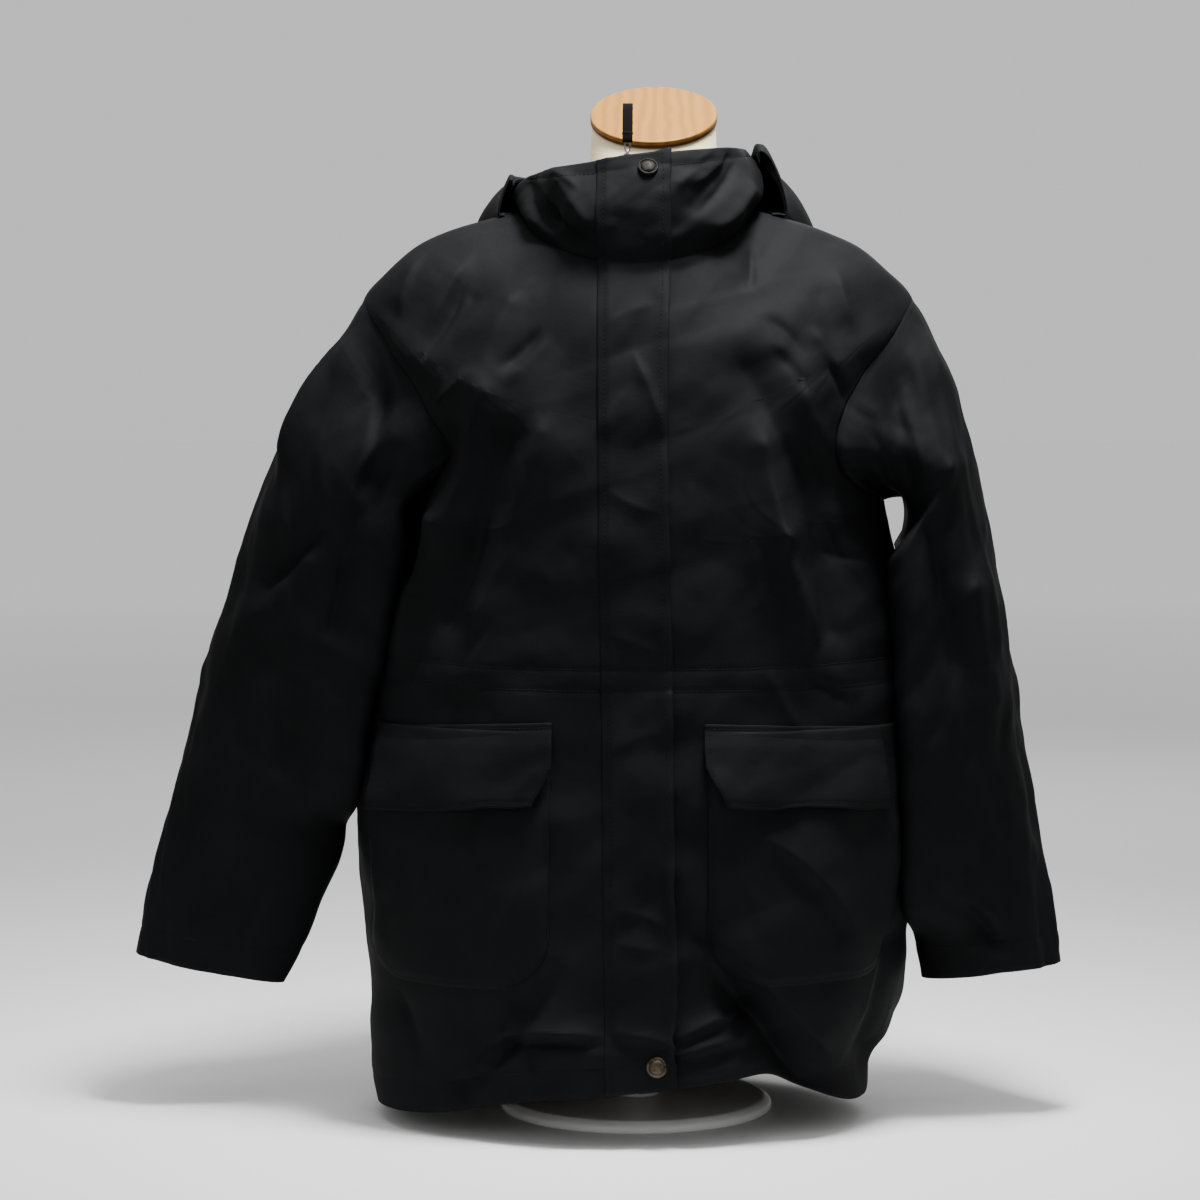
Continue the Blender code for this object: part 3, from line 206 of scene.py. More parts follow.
class Fold(NamedTuple):
    """A broad soft fold: a rounded bar from one point to another, seen from the front."""

    x0: float
    z0: float
    x1: float
    z1: float
    width: float
    height: float


class Crease(NamedTuple):
    """A crease with one soft and one sharp side, bowed off its chord, tapered at both ends."""

    x0: float
    z0: float
    x1: float
    z1: float
    bow: float
    soft: float
    sharp: float
    height: float


def fold_relief(folds: Sequence[Fold], x: Array, z: Array) -> Array:
    """Height of broad folds: for each, height times exp(-(distance / width)), its top rounded.

    Args:
        folds: the folds.
        x: first coordinate.
        z: second coordinate.

    Returns:
        The summed height.
    """
    total = np.zeros(np.broadcast(x, z).shape)
    for f in folds:
        dx, dz = f.x1 - f.x0, f.z1 - f.z0
        along = np.clip(((x - f.x0) * dx + (z - f.z0) * dz) / (dx * dx + dz * dz), 0.0, 1.0)
        away = np.hypot(x - f.x0 - along * dx, z - f.z0 - along * dz)
        top = FOLD_TOP * f.width
        total += f.height * np.exp(-(np.hypot(away, top) - top) / (FOLD_SIDE * f.width))
    return total


def crease_relief(creases: Sequence[Crease], x: Array, z: Array) -> Array:
    """Height of creases.

    u runs from 0 to 1 along the chord and v is the distance across it, less 4 bow u (1 - u).
    The height is height times exp((r - sqrt(v squared + r squared)) / w), where w is the soft
    width for v above 0 and the sharp width below and r rounds the top, eased at both ends.

    Args:
        creases: the creases.
        x: first coordinate.
        z: second coordinate.

    Returns:
        The summed height.
    """
    total = np.zeros(np.broadcast(x, z).shape)
    for c in creases:
        dx, dz = c.x1 - c.x0, c.z1 - c.z0
        length = math.hypot(dx, dz)
        u = ((x - c.x0) * dx + (z - c.z0) * dz) / length ** 2
        v = ((z - c.z0) * dx - (x - c.x0) * dz) / length - 4.0 * c.bow * u * (1.0 - u)
        width = np.where(v > 0.0, c.soft, c.sharp)
        taper = ease(u / CREASE_END) * ease((1.0 - u) / CREASE_END)
        total += c.height * np.exp((CREASE_TOP - np.hypot(v, CREASE_TOP)) / width) * taper
    return total


def relief(folds: Sequence[Fold], creases: Sequence[Crease], x: Array, z: Array) -> Array:
    """Height of folds and creases together."""
    return fold_relief(folds, x, z) + crease_relief(creases, x, z)


def folds(gain: float, rows: Sequence[tuple[float, ...]]) -> tuple[Fold, ...]:
    """Folds from rows of a table in millimetres, every height times gain."""
    return tuple(Fold(*np.divide((*row[:5], row[5] * gain), MM)) for row in rows)


def creases(gain: float, rows: Sequence[tuple[float, ...]]) -> tuple[Crease, ...]:
    """Creases from rows of a table in millimetres, every height times gain."""
    return tuple(Crease(*np.divide((*row[:7], row[7] * gain), MM)) for row in rows)


@dataclass(frozen=True)
class Unevenness:
    """The crumple of hung cloth: flat facets between low ridges, in many directions."""

    seed: int
    height: float = 0.0017
    shortest: float = 0.045
    longest: float = 0.160
    waves: int = 12
    crisp: float = 0.985

    def relief(self, x: Array, z: Array) -> Array:
        """Sum over waves of height (length / longest) times a rounded triangle wave and a mask.

        The triangle is the arcsine of crisp sin(2 pi (direction . place) / length + phase), and
        the mask, a slow sine squared, lets each ridge fade in and out.

        Args:
            x: first coordinate.
            z: second coordinate.

        Returns:
            The summed height.
        """
        draw = np.random.default_rng(self.seed)
        total = np.zeros(np.broadcast(x, z).shape)
        for length in np.geomspace(self.shortest, self.longest, self.waves):
            heading = draw.normal(0.0, 0.75)
            phase, slow = draw.uniform(0.0, 2 * math.pi, 2)
            swing = 0.9 * np.sin(2 * math.pi * (x - 2 * z) / (3.1 * length) + phase)
            across = x * math.cos(heading) + z * math.sin(heading)
            wave = np.arcsin(self.crisp * np.sin(2 * math.pi * across / length + phase + swing))
            mask = np.sin(math.pi * (1.3 * z - 0.8 * x) / (1.7 * length) + slow) ** 2
            total += self.height * (length / self.longest) ** 0.9 * wave * mask * 0.64
        return total


def pucker(angle: Array, away: Array, count: int, reach: float, height: float) -> Array:
    """Gathers square to a seam: height sin(count angle + wander) exp(-(away / reach)^2)."""
    wander = 2.1 * np.sin(5 * angle) + 1.3 * np.sin(9 * angle + 1.0)
    size = height * (0.6 + 0.4 * np.sin(7 * angle + 0.6))
    return size * np.sin(count * angle + wander) * hump(away, reach)


# --- meshes
def lengths(line: Array) -> Array:
    """Distance along a line of points, from its first."""
    return np.concatenate([[0.0], np.cumsum(np.linalg.norm(np.diff(line, axis=0), axis=1))])


def grid_normals(points: Array, closed: bool) -> Array:
    """Normals of a grid of points: down the rows crossed with along the columns.

    Args:
        points: rows by columns by 3.
        closed: whether the last column meets the first.

    Returns:
        Unit vectors, one for each point.
    """
    down = np.gradient(points, axis=0)
    if closed:
        across = np.roll(points, -1, axis=1) - np.roll(points, 1, axis=1)
    else:
        across = np.gradient(points, axis=1)
    return unit(np.cross(down, across))


def numbers(rows: int, columns: int, down: bool = False, across: bool = False) -> Array:
    """Point numbers of a grid; its first row or column comes again where it closes."""
    index = np.arange(rows * columns).reshape(rows, columns)
    return np.pad(index, ((0, int(down)), (0, int(across))), mode="wrap")


def grid_faces(index: Array) -> Array:
    """Quads of a grid of point numbers, from each point to those below and beside it."""
    corners = [index[:-1, :-1], index[1:, :-1], index[1:, 1:], index[:-1, 1:]]
    return np.stack(corners, axis=-1).reshape(-1, 4)


def border_loops(index: Array, closed: bool) -> list[tuple[Array, Array]]:
    """Border points of a grid and the points next to them inside, as numbers.

    Args:
        index: the grid's point numbers.
        closed: whether the last column meets the first.

    Returns:
        One (border, inside) pair for each closed loop of border.
    """
    if closed:
        return [(index[0], index[1]), (index[-1], index[-2])]
    inner = np.pad(index[1:-1, 1:-1], 1, mode="edge")
    around = [np.concatenate([grid[0, :-1], grid[:-1, -1], grid[-1, :0:-1], grid[:0:-1, 0]])
              for grid in (index, inner)]
    return [tuple(around)]


def new_object(name: str, points: Array, groups: Sequence[Array], uv: Array | None = None,
               merge: bool = False) -> Piece:
    """One mesh object at the origin, smooth, with its faces turned out.

    Args:
        name: the piece's name.
        points: its points.
        groups: arrays of faces, those of an array having as many corners.
        uv: cloth coordinates in metres, for each corner in order, or None.
        merge: whether doubled points, as at a pole, are merged.

    Returns:
        The object, linked to the scene.
    """
    corners = np.concatenate([group.ravel() for group in groups]).astype(np.int32)
    sizes = np.concatenate([np.full(len(group), group.shape[1]) for group in groups])
    mesh = bpy.data.meshes.new(name)
    mesh.vertices.add(points.size // 3)
    mesh.vertices.foreach_set("co", points.astype(np.float32).ravel())
    mesh.loops.add(len(corners))
    mesh.loops.foreach_set("vertex_index", corners)
    mesh.polygons.add(len(sizes))
    mesh.polygons.foreach_set("loop_start", (np.cumsum(sizes) - sizes).astype(np.int32))
    mesh.update(calc_edges=True)
    if uv is not None:
        mesh.uv_layers.new(name="cloth").data.foreach_set("uv", uv.astype(np.float32).ravel())
    shape = bmesh.new()
    shape.from_mesh(mesh)
    if merge:
        bmesh.ops.remove_doubles(shape, verts=shape.verts, dist=1e-6)
    bmesh.ops.recalc_face_normals(shape, faces=shape.faces)
    shape.to_mesh(mesh)
    shape.free()
    mesh.shade_smooth()
    obj = bpy.data.objects.new(name, mesh)
    bpy.context.scene.collection.objects.link(obj)
    return obj


@dataclass
class ClothGrid:
    """A piece of cloth: its outer side as a grid, rows down and columns round."""

    outer: Array
    normal: Array
    closed: bool = False
    thickness: float = CLOTH
    rim: float = 0.35

    def at(self, row: Array, column: Array) -> tuple[Array, Array]:
        """Points and normals at fractional rows and columns, weighted from the four around.

        Args:
            row: fractional rows.
            column: fractional columns.

        Returns:
            (points, unit normals).
        """
        row, column = np.broadcast_arrays(np.asarray(row, float), np.asarray(column, float))
        grid = np.concatenate([self.outer, self.normal], axis=-1)
        if self.closed:
            grid = np.concatenate([grid, grid[:, :1]], axis=1)
            column = column % self.outer.shape[1]
        r = np.clip(np.floor(row).astype(int), 0, grid.shape[0] - 2)
        c = np.clip(np.floor(column).astype(int), 0, grid.shape[1] - 2)
        a, b = (row - r)[..., None], (column - c)[..., None]
        upper = grid[r, c] * (1 - b) + grid[r, c + 1] * b
        lower = grid[r + 1, c] * (1 - b) + grid[r + 1, c + 1] * b
        mixed = upper * (1 - a) + lower * a
        return mixed[..., :3], unit(mixed[..., 3:])

    def cloth_uv(self) -> Array:
        """Warp and weft coordinates in metres: arc lengths along the middle row and column."""
        rows, columns = self.outer.shape[:2]
        ring = self.outer[rows // 2]
        if self.closed:
            ring = np.concatenate([ring, ring[:1]])
        return np.stack(np.meshgrid(lengths(ring), -lengths(self.outer[:, columns // 2])), axis=-1)

    def make(self, name: str) -> Piece:
        """The closed wall: outer side, inner side one thickness in, and a rounded rim.

        Args:
            name: the piece's name.

        Returns:
            The piece.
        """
        rows, columns = self.outer.shape[:2]
        count = rows * columns
        outer = self.outer.reshape(-1, 3)
        inner = outer - self.normal.reshape(-1, 3) * self.thickness
        quad = grid_faces(numbers(rows, columns, across=self.closed))
        uv = self.cloth_uv()
        quad_uv = uv.reshape(-1, 2)[grid_faces(numbers(*uv.shape[:2]))]
        vertex_uv = uv[:, :columns].reshape(-1, 2)
        points, faces = [outer, inner], [quad, quad[:, ::-1] + count]
        corner_uv = [quad_uv, quad_uv[:, ::-1]]
        start = 2 * count
        for border, inside in border_loops(numbers(rows, columns), self.closed):
            push = unit(outer[border] - outer[inside])
            middle = (outer[border] + inner[border]) / 2
            points.append(middle + push * self.thickness * self.rim)
            ring = start + np.arange(len(border))
            start += len(border)
            here = vertex_uv[border]
            after = np.roll(here, -1, axis=0)
            for a, b in ((border, ring), (ring, border + count)):
                faces.append(np.stack([a, b, np.roll(b, -1), np.roll(a, -1)], axis=1))
                corner_uv.append(np.stack([here, here, after, after], axis=1))
        return new_object(name, np.concatenate(points), faces, np.concatenate(corner_uv))


def turned(name: str, centre: Array, axis: Array, profile: Sequence[Pair],
           around: int = 64) -> Piece:
    """A turned solid: centre + height axis + radius (cos, sin) in the plane square to the axis.

    Args:
        name: the piece's name.
        centre: a point on the axis.
        axis: the axis' direction.
        profile: (radius, height) from pole to pole, or round a ring and back to its first.
        around: number of points round.

    Returns:
        The closed mesh object.
    """
    axis = unit(np.asarray(axis, float))
    first = unit(np.cross(axis, [1.0, 0.0, 0.0]))
    angle = circle(around)[None, :, None]
    radius, height = np.asarray(profile, float).T[:, :, None, None]
    points = np.asarray(centre) + height * axis + radius * (
        np.cos(angle) * first + np.sin(angle) * np.cross(axis, first))
    return new_object(name, points, [grid_faces(numbers(len(profile), around, across=True))],
                      merge=True)


def rounded(profile: Sequence[Pair], radius: float, steps: int = 4
            ) -> list[Pair]:
    """A profile whose inner corners are replaced by small arcs, as quadratic curves.

    Args:
        profile: corner points.
        radius: how far from a corner its arc starts.
        steps: points in an arc.

    Returns:
        The longer list of points.
    """
    corners = [np.asarray(p, float) for p in profile]
    out = [corners[0]]
    for before, here, after in zip(corners, corners[1:], corners[2:]):
        reach_in = min(radius, np.linalg.norm(before - here) * 0.45)
        reach_out = min(radius, np.linalg.norm(after - here) * 0.45)
        start = here + unit(before - here) * reach_in
        end = here + unit(after - here) * reach_out
        for t in even(steps):
            out.append((1 - t) ** 2 * start + 2 * t * (1 - t) * here + t ** 2 * end)
    out.append(corners[-1])
    return [tuple(p) for p in out]


# --- finishes
class Graph:
    """A material under construction: a Principled shader and what feeds it."""

    def __init__(self, name: str) -> None:
        """Starts a material with its own node tree."""
        self.material = bpy.data.materials.new(name)
        self.material.use_nodes = True
        self.tree = self.material.node_tree
        self.shader = self.tree.nodes["Principled BSDF"]

    def node(self, kind: str, inputs: dict | None = None, **settings: object) -> bpy.types.Node:
        """A new node with its settings and plain input values.

        Args:
            kind: the node's type name.
            inputs: input name to value or to the socket that feeds it.
            **settings: the node's own properties.

        Returns:
            The node.
        """
        made = self.tree.nodes.new(kind)
        for name, value in settings.items():
            setattr(made, name, value)
        for name, value in (inputs or {}).items():
            if isinstance(value, Socket):
                self.tree.links.new(value, made.inputs[name])
            else:
                made.inputs[name].default_value = value
        return made

    def feed(self, name: str, socket: Socket) -> None:
        """Links a socket to the shader's input of that name."""
        self.tree.links.new(socket, self.shader.inputs[name])

    def place(self, scale: Triple, on_cloth: bool) -> Socket:
        """Scaled coordinates, of the cloth's own map or of the object.

        Args:
            scale: how much each axis is multiplied by.
            on_cloth: whether the cloth's map is read.

        Returns:
            The vector socket.
        """
        if on_cloth:
            source = self.node("ShaderNodeUVMap", uv_map="cloth").outputs["UV"]
        else:
            source = self.node("ShaderNodeTexCoord").outputs["Object"]
        return self.node("ShaderNodeMapping", {"Vector": source, "Scale": scale}).outputs["Vector"]

    def noise(self, scale: float | Triple, on_cloth: bool = False, detail: float = 3.0,
              rough: float = 0.55) -> Socket:
        """Noise over the scaled coordinates of the cloth's map or the object."""
        scale = scale if isinstance(scale, tuple) else (scale, scale, scale)
        made = self.node("ShaderNodeTexNoise", {"Vector": self.place(scale, on_cloth), "Scale": 1.0,
                                                "Detail": detail, "Roughness": rough})
        return made.outputs["Fac"]

    def ramp(self, value: Socket, low: tuple, high: tuple,
             start: float = 0.3, end: float = 0.7) -> Socket:
        """A colour that runs from low to high as the value runs from start to end."""
        made = self.node("ShaderNodeValToRGB", {"Fac": value})
        made.color_ramp.elements[0].position = start
        made.color_ramp.elements[0].color = (*low, 1.0)
        made.color_ramp.elements[1].position = end
        made.color_ramp.elements[1].color = (*high, 1.0)
        return made.outputs["Color"]

    def span(self, value: Socket, low: float, high: float) -> Socket:
        """The value, from 0 to 1, mapped to run from low to high."""
        made = self.node("ShaderNodeMapRange", {"Value": value, "To Min": low, "To Max": high})
        return made.outputs["Result"]

    def add(self, a: Socket, b: Socket,
            operation: str = "ADD") -> Socket:
        """Two values combined by a Math node."""
        made = self.node("ShaderNodeMath", operation=operation)
        self.tree.links.new(a, made.inputs[0])
        self.tree.links.new(b, made.inputs[1])
        return made.outputs["Value"]

    def bump(self, height: Socket, distance: float, strength: float = 1.0) -> None:
        """Raises the shading by a height in metres."""
        made = self.node("ShaderNodeBump",
                         {"Height": height, "Distance": distance, "Strength": strength})
        self.feed("Normal", made.outputs["Normal"])

    def set(self, **values: object) -> None:
        """Plain values on the shader's own sockets, with underscores for spaces."""
        for name, value in values.items():
            self.shader.inputs[name.replace("_", " ")].default_value = value


@dataclass(frozen=True)
class ShellFabric:
    """Tightly woven coated cloth: near-black blue-grey, a fine slubby weave and small crinkles."""

    dark: Triple = (0.0022, 0.0023, 0.0027)
    light: Triple = (0.0040, 0.0042, 0.0048)
    thread: float = 0.00085
    slub: float = 0.011
    crinkle: Pair = (0.034, 0.075)

    def material(self, name: str = "shell_cloth") -> Material:
        """Grain and slubs along the weft, ridged noise for crinkles, and slow colour drift."""
        g = Graph(name)
        drift = g.noise((14.0, 9.0, 1.0), True, 4.0)
        slubs = g.noise((1 / self.slub, 1 / (self.thread * 2.2), 1.0), True, 2.0)
        grain = g.noise((1 / self.thread, 1 / self.thread, 1.0), True, 2.0, 0.7)
        mixed = g.add(g.span(drift, 0.0, 0.62), g.span(slubs, 0.0, 0.38))
        g.feed("Base Color", g.ramp(mixed, self.dark, self.light, 0.36, 0.64))
        g.feed("Roughness", g.span(drift, 0.66, 0.78))
        weave = g.add(g.span(slubs, 0.0, 0.05), g.span(grain, 0.0, 0.035))
        scale = (1 / self.crinkle[0], 1 / self.crinkle[1], 1.0)
        ridges = g.node("ShaderNodeTexNoise", {
            "Vector": g.place(scale, True), "Scale": 1.0, "Detail": 2.0, "Roughness": 0.45,
            "Distortion": 0.5}, noise_type="RIDGED_MULTIFRACTAL").outputs["Fac"]
        where = g.noise((9.0, 7.0, 1.0), True, 1.0)
        strong = g.ramp(where, (0.0, 0.0, 0.0), (1.0, 1.0, 1.0), 0.42, 0.66)
        g.bump(g.add(weave, g.add(ridges, strong, "MULTIPLY")), 0.0016, 0.9)
        g.set(Specular_IOR_Level=0.05)
        return g.material


@dataclass(frozen=True)
class Thread:
    """Twisted polyester sewing thread, a shade blacker and glossier than the cloth."""

    colour: Triple = (0.0016, 0.0016, 0.0019)
    lit: Triple = (0.0032, 0.0033, 0.0038)

    def material(self) -> Material:
        """Fine noise for the twist, over a near-black."""
        g = Graph("sewing_thread")
        twist = g.noise(2600.0, detail=1.0)
        g.feed("Base Color", g.ramp(twist, self.colour, self.lit))
        g.feed("Roughness", g.span(twist, 0.62, 0.80))
        g.set(Specular_IOR_Level=0.10)
        return g.material


@dataclass(frozen=True)
class WovenTape:
    """Dull brown-black ribbed tape, with ribs across its length."""

    dark: Triple = (0.0016, 0.0010, 0.0009)
    light: Triple = (0.0044, 0.0027, 0.0023)
    rib: float = 0.0011

    def material(self) -> Material:
        """Ribs as a sine along the length, with noise over them."""
        g = Graph("woven_tape")
        place = g.place((1.0, 1.0, 1.0), True)
        period = 2 * math.pi / 20.0
        ribs = g.node("ShaderNodeTexWave", {"Vector": place, "Scale": period / self.rib,
                                            "Distortion": 0.4, "Detail": 1.0},
                      bands_direction="Y").outputs["Fac"]
        dust = g.noise(700.0, True, 2.0)
        g.feed("Base Color", g.ramp(g.add(ribs, dust, "MULTIPLY"), self.dark, self.light, 0.1, 0.7))
        g.feed("Roughness", g.span(dust, 0.66, 0.86))
        g.bump(ribs, 0.0002, 0.6)
        g.set(Specular_IOR_Level=0.06)
        return g.material


@dataclass(frozen=True)
class AgedMetal:
    """Plated metal: one colour, blotched, with fine scratches."""

    name: str
    dark: Triple
    light: Triple
    rough: Pair

    def material(self) -> Material:
        """Blotches for colour and roughness, stretched noise for scratches."""
        g = Graph(self.name)
        blotch = g.noise(260.0, detail=4.0)
        scratch = g.noise((3000.0, 260.0, 900.0), detail=2.0)
        g.feed("Base Color", g.ramp(blotch, self.dark, self.light))
        g.feed("Roughness", g.span(g.add(g.span(blotch, 0.0, 0.6), g.span(scratch, 0.0, 0.4)),
                                   *self.rough))
        g.bump(scratch, 0.00003, 0.5)
        g.set(Metallic=1.0)
        return g.material


@dataclass(frozen=True)
class FormCover:
    """Ivory jersey glued over a hard shell, with a fine knit and faint yellowing."""

    pale: Triple = (0.78, 0.68, 0.44)
    aged: Triple = (0.68, 0.57, 0.34)

    def material(self) -> Material:
        """Slow drift between two ivories, and a fine grain for the knit."""
        g = Graph("form_jersey")
        drift = g.noise((7.0, 7.0, 5.0), detail=4.0)
        knit = g.noise((1500.0, 1500.0, 900.0), detail=1.0)
        g.feed("Base Color", g.ramp(drift, self.aged, self.pale, 0.3, 0.6))
        g.feed("Roughness", g.span(knit, 0.72, 0.90))
        g.bump(knit, 0.0003, 0.35)
        g.set(Sheen_Weight=0.12, Sheen_Roughness=0.5)
        return g.material


@dataclass(frozen=True)
class PaintedSteel:
    """Pale grey powder coat on the stand, faintly orange-peeled."""

    pale: Triple = (0.60, 0.60, 0.59)
    worn: Triple = (0.55, 0.55, 0.54)

    def material(self) -> Material:
        """Slow drift in colour and a fine orange peel."""
        g = Graph("stand_paint")
        drift = g.noise(16.0, detail=4.0)
        peel = g.noise(420.0, detail=1.0)
        g.feed("Base Color", g.ramp(drift, self.worn, self.pale))
        g.feed("Roughness", g.span(drift, 0.38, 0.52))
        g.bump(peel, 0.00012, 0.4)
        return g.material


@dataclass(frozen=True)
class CapWood:
    """Pale varnished maple, its grain running across the cap."""

    early: Triple
    late: Triple
    name: str = "cap_wood"

    def material(self) -> Material:
        """Bands bent by noise for the grain, with fine pores along it."""
        g = Graph(self.name)
        place = g.place((34.0, 5.0, 34.0), False)
        grain = g.node("ShaderNodeTexWave", {"Vector": place, "Scale": 0.9, "Distortion": 5.0,
                                             "Detail": 3.0, "Detail Scale": 1.2},
                       bands_direction="X").outputs["Fac"]
        pores = g.noise((1900.0, 130.0, 1900.0), detail=2.0)
        g.feed("Base Color", g.ramp(grain, self.early, self.late, 0.15, 0.95))
        g.feed("Roughness", g.span(pores, 0.34, 0.50))
        g.bump(pores, 0.00006, 0.4)
        g.set(Specular_IOR_Level=0.12, Coat_Weight=0.05, Coat_Roughness=0.3)
        return g.material


@dataclass(frozen=True)
class PalePaper:
    """Matt pale backdrop paper, painted a deeper grey near the middle as painted shade that evens out
    the lamps' stronger light there.
    """

    # near is the painted shade under the lamps; far is the paper's own pale.
    near: Triple = (0.62, 0.62, 0.62)
    far: Triple = (0.985, 0.985, 0.985)
    reach: float = 7.0

    def material(self) -> Material:
        """A very faint mottling over a grey that pales with the distance from the middle; the darker
        middle is painted shade against the lamps' pool of light.
        """
        g = Graph("backdrop_paper_painted_shade")
        mottle = g.noise(3.0, detail=2.0)
        inverse = 1.0 / self.reach
        fade = g.node("ShaderNodeTexGradient",
                      {"Vector": g.place((inverse, inverse, inverse), False)},
                      gradient_type="SPHERICAL").outputs["Fac"]
        mixed = g.add(fade, g.span(mottle, 0.0, 0.05))
        g.feed("Base Color", g.ramp(mixed, self.far, self.near, 0.05, 0.90))
        g.set(Roughness=0.95, Specular_IOR_Level=0.1)
        return g.material


class Wardrobe:
    """All finishes, each made once."""

    def __init__(self) -> None:
        """Makes every material."""
        self.shell = ShellFabric().material()
        self.thread = Thread().material()
        self.tape = WovenTape().material()
        # The snaps' metal comes as two copies: the top snap's is painted darker, as painted shade
        # against the over lamp's light, and the hem snap's is painted lighter and tan, as painted
        # light.
        self.pewter_painted_shade = AgedMetal("snap_pewter_painted_shade", (0.0025, 0.0024, 0.0022), (0.012, 0.011, 0.010),
                                (0.50, 0.64)).material()
        self.brass_painted_light = AgedMetal("snap_brass_painted_light", (0.020, 0.015, 0.011), (0.080, 0.062, 0.045),
                               (0.40, 0.56)).material()
        self.nickel = AgedMetal("zip_nickel", (0.040, 0.038, 0.036), (0.120, 0.115, 0.110),
                                (0.34, 0.50)).material()
        self.jersey = FormCover().material()
        self.paint = PaintedSteel().material()
        self.maple = CapWood((0.215, 0.098, 0.018), (0.180, 0.079, 0.013)).material()
        # A darker copy of the cap's wood for the ring under its edge: painted shade, where the cap's
        # underside falls dark.
        self.rim_painted_shade = CapWood((0.080, 0.030, 0.009), (0.060, 0.021, 0.006),
                                "cap_rim_painted_shade").material()


# --- the jacket's body
@dataclass(frozen=True)
class BodyCut:
    """The body as one surface round the wearer.

    turn is radians from centre front, + to the wearer's left; down is metres from the neckline.
    """

    rings: Table
    hem_line: Table
    front_folds: tuple[Fold, ...]
    back_folds: tuple[Fold, ...]
    front_creases: tuple[Crease, ...]
    back_creases: tuple[Crease, ...]
    front_slack: Unevenness = Unevenness(11)
    back_slack: Unevenness = Unevenness(23)
    side_slack: Unevenness = Unevenness(37)
    tip: float = 0.155
    pit: float = 0.311
    hem: float = 0.790
    hem_level: float = 0.030
    hem_fade: float = 0.56
    scye_front: float = math.radians(40)
    scye_back: float = math.radians(35)
    face_blend: float = 0.25
    casing: Pair = (0.4390, 0.4585)
    hem_turning: float = 0.020
    armpit_z: float = 0.500
    neck_fade: float = 0.014

    def plain(self, turn: Array, down: Array) -> Array:
        """The broad form: an oval at each down, lowered towards the hem to the hem's line.

        Args:
            turn: radians from centre front.
            down: metres from the neckline.

        Returns:
            Points.
        """
        points = self.rings.oval(turn, down)
        degrees = (np.degrees(turn) + 180.0) % 360.0 - 180.0
        drop = self.hem_line.at("height", degrees) - self.hem_level
        points[..., 2] += drop * ease((down - self.hem_fade) / (self.hem - self.hem_fade))
        return points

    def relief(self, turn: Array, down: Array, plain: Array) -> Array:
        """Folds and creases of front and back, slack, waist casing and hem, as one height.

        Args:
            turn: radians from centre front.
            down: metres from the neckline.
            plain: the broad form's points there.

        Returns:
            Height along the normal.
        """
        x, y, z = plain[..., 0], plain[..., 1], plain[..., 2]
        front, back = (ease(s * np.cos(turn) / self.face_blend) for s in (1, -1))
        total = front * (relief(self.front_folds, self.front_creases, x, z)
                         + self.front_slack.relief(x, z))
        total += back * (relief(self.back_folds, self.back_creases, x, z)
                         + self.back_slack.relief(x, z))
        total += (1 - front - back) * self.side_slack.relief(y, z)
        total += 0.0003 * hump(down - sum(self.casing) / 2, 0.0065)
        for line in self.casing:
            total += pucker(turn, down - line, 53, 0.014, 0.00025)
            total -= GROOVE * hump(down - line, 0.0022)
        line = self.hem - self.hem_turning
        total += pucker(turn, down - line, 47, 0.012, 0.00012) - HEM_GROOVE * hump(down - line, 0.002)
        return total * ease(down / self.neck_fade)

    def surface(self, turn: Array, down: Array) -> Array:
        """The cloth's outer side: plain + normal times relief."""
        turn, down = both(turn, down)
        plain = self.plain(turn, down)
        raised = self.relief(turn, down, plain)
        return plain + slope_normal(self.plain, turn, down) * raised[..., None]

    def normal(self, turn: Array, down: Array) -> Array:
        """Outward normal of the outer side."""
        turn, down = both(turn, down)
        return slope_normal(self.surface, turn, np.clip(down, 2 * NUDGE, self.hem - 2 * NUDGE))

    def find_on_front(self, x: Array, z: Array) -> tuple[Array, Array]:
        """The plain point seen at (x, z) from the front, by Newton steps down the front.

        Args:
            x: places across.
            z: heights.

        Returns:
            (turn, down).
        """
        down = np.interp(-z, [-0.70, -0.03], [0.0, self.hem]) + 0.0 * x
        for _ in range(30):
            turn = self.rings.turn_at_x(x, down)
            here = self.plain(turn, down)[..., 2]
            below = self.plain(turn, down + NUDGE)[..., 2]
            step = (here - z) / np.maximum((here - below) / NUDGE, 0.3)
            down = np.clip(down + np.clip(step, -0.03, 0.03), 0.0, self.hem)
        return self.rings.turn_at_x(x, down), down

    def bite(self, down: Array, depth: float) -> Array:
        """How far an armhole bites into a panel: depth times 2 sqrt(s (1 - s)), tip to armpit."""
        s = np.clip((down - self.tip) / (self.pit - self.tip), 0.0, 1.0)
        return depth * 2.0 * np.sqrt(s * (1.0 - s))

    def side_reach(self, side: Side, z: Array) -> Array:
        """How far the body reaches sideways at a height below the armpit."""
        down = np.linspace(self.pit, self.hem, 200)
        line = self.plain(np.full_like(down, side.value * math.pi / 2), down)
        return np.interp(-z, -line[:, 2], np.abs(line[:, 0]))


def slope_normal(surface: Callable[[Array, Array], Array], a: Array, b: Array) -> Array:
    """Outward normal of surface(a, b): its slope along b crossed with its slope along a."""
    across = surface(a + NUDGE, b) - surface(a - NUDGE, b)
    down = surface(a, b + NUDGE) - surface(a, b - NUDGE)
    return unit(np.cross(down, across))


def edge_push(edge: Array, normal: Array, inside: Array) -> Array:
    """Unit vectors in a surface, square to its edge and away from the points inside."""
    push = unit(np.cross(normal, np.gradient(edge, axis=0)))
    return push * np.sign(dot(push, edge - inside))


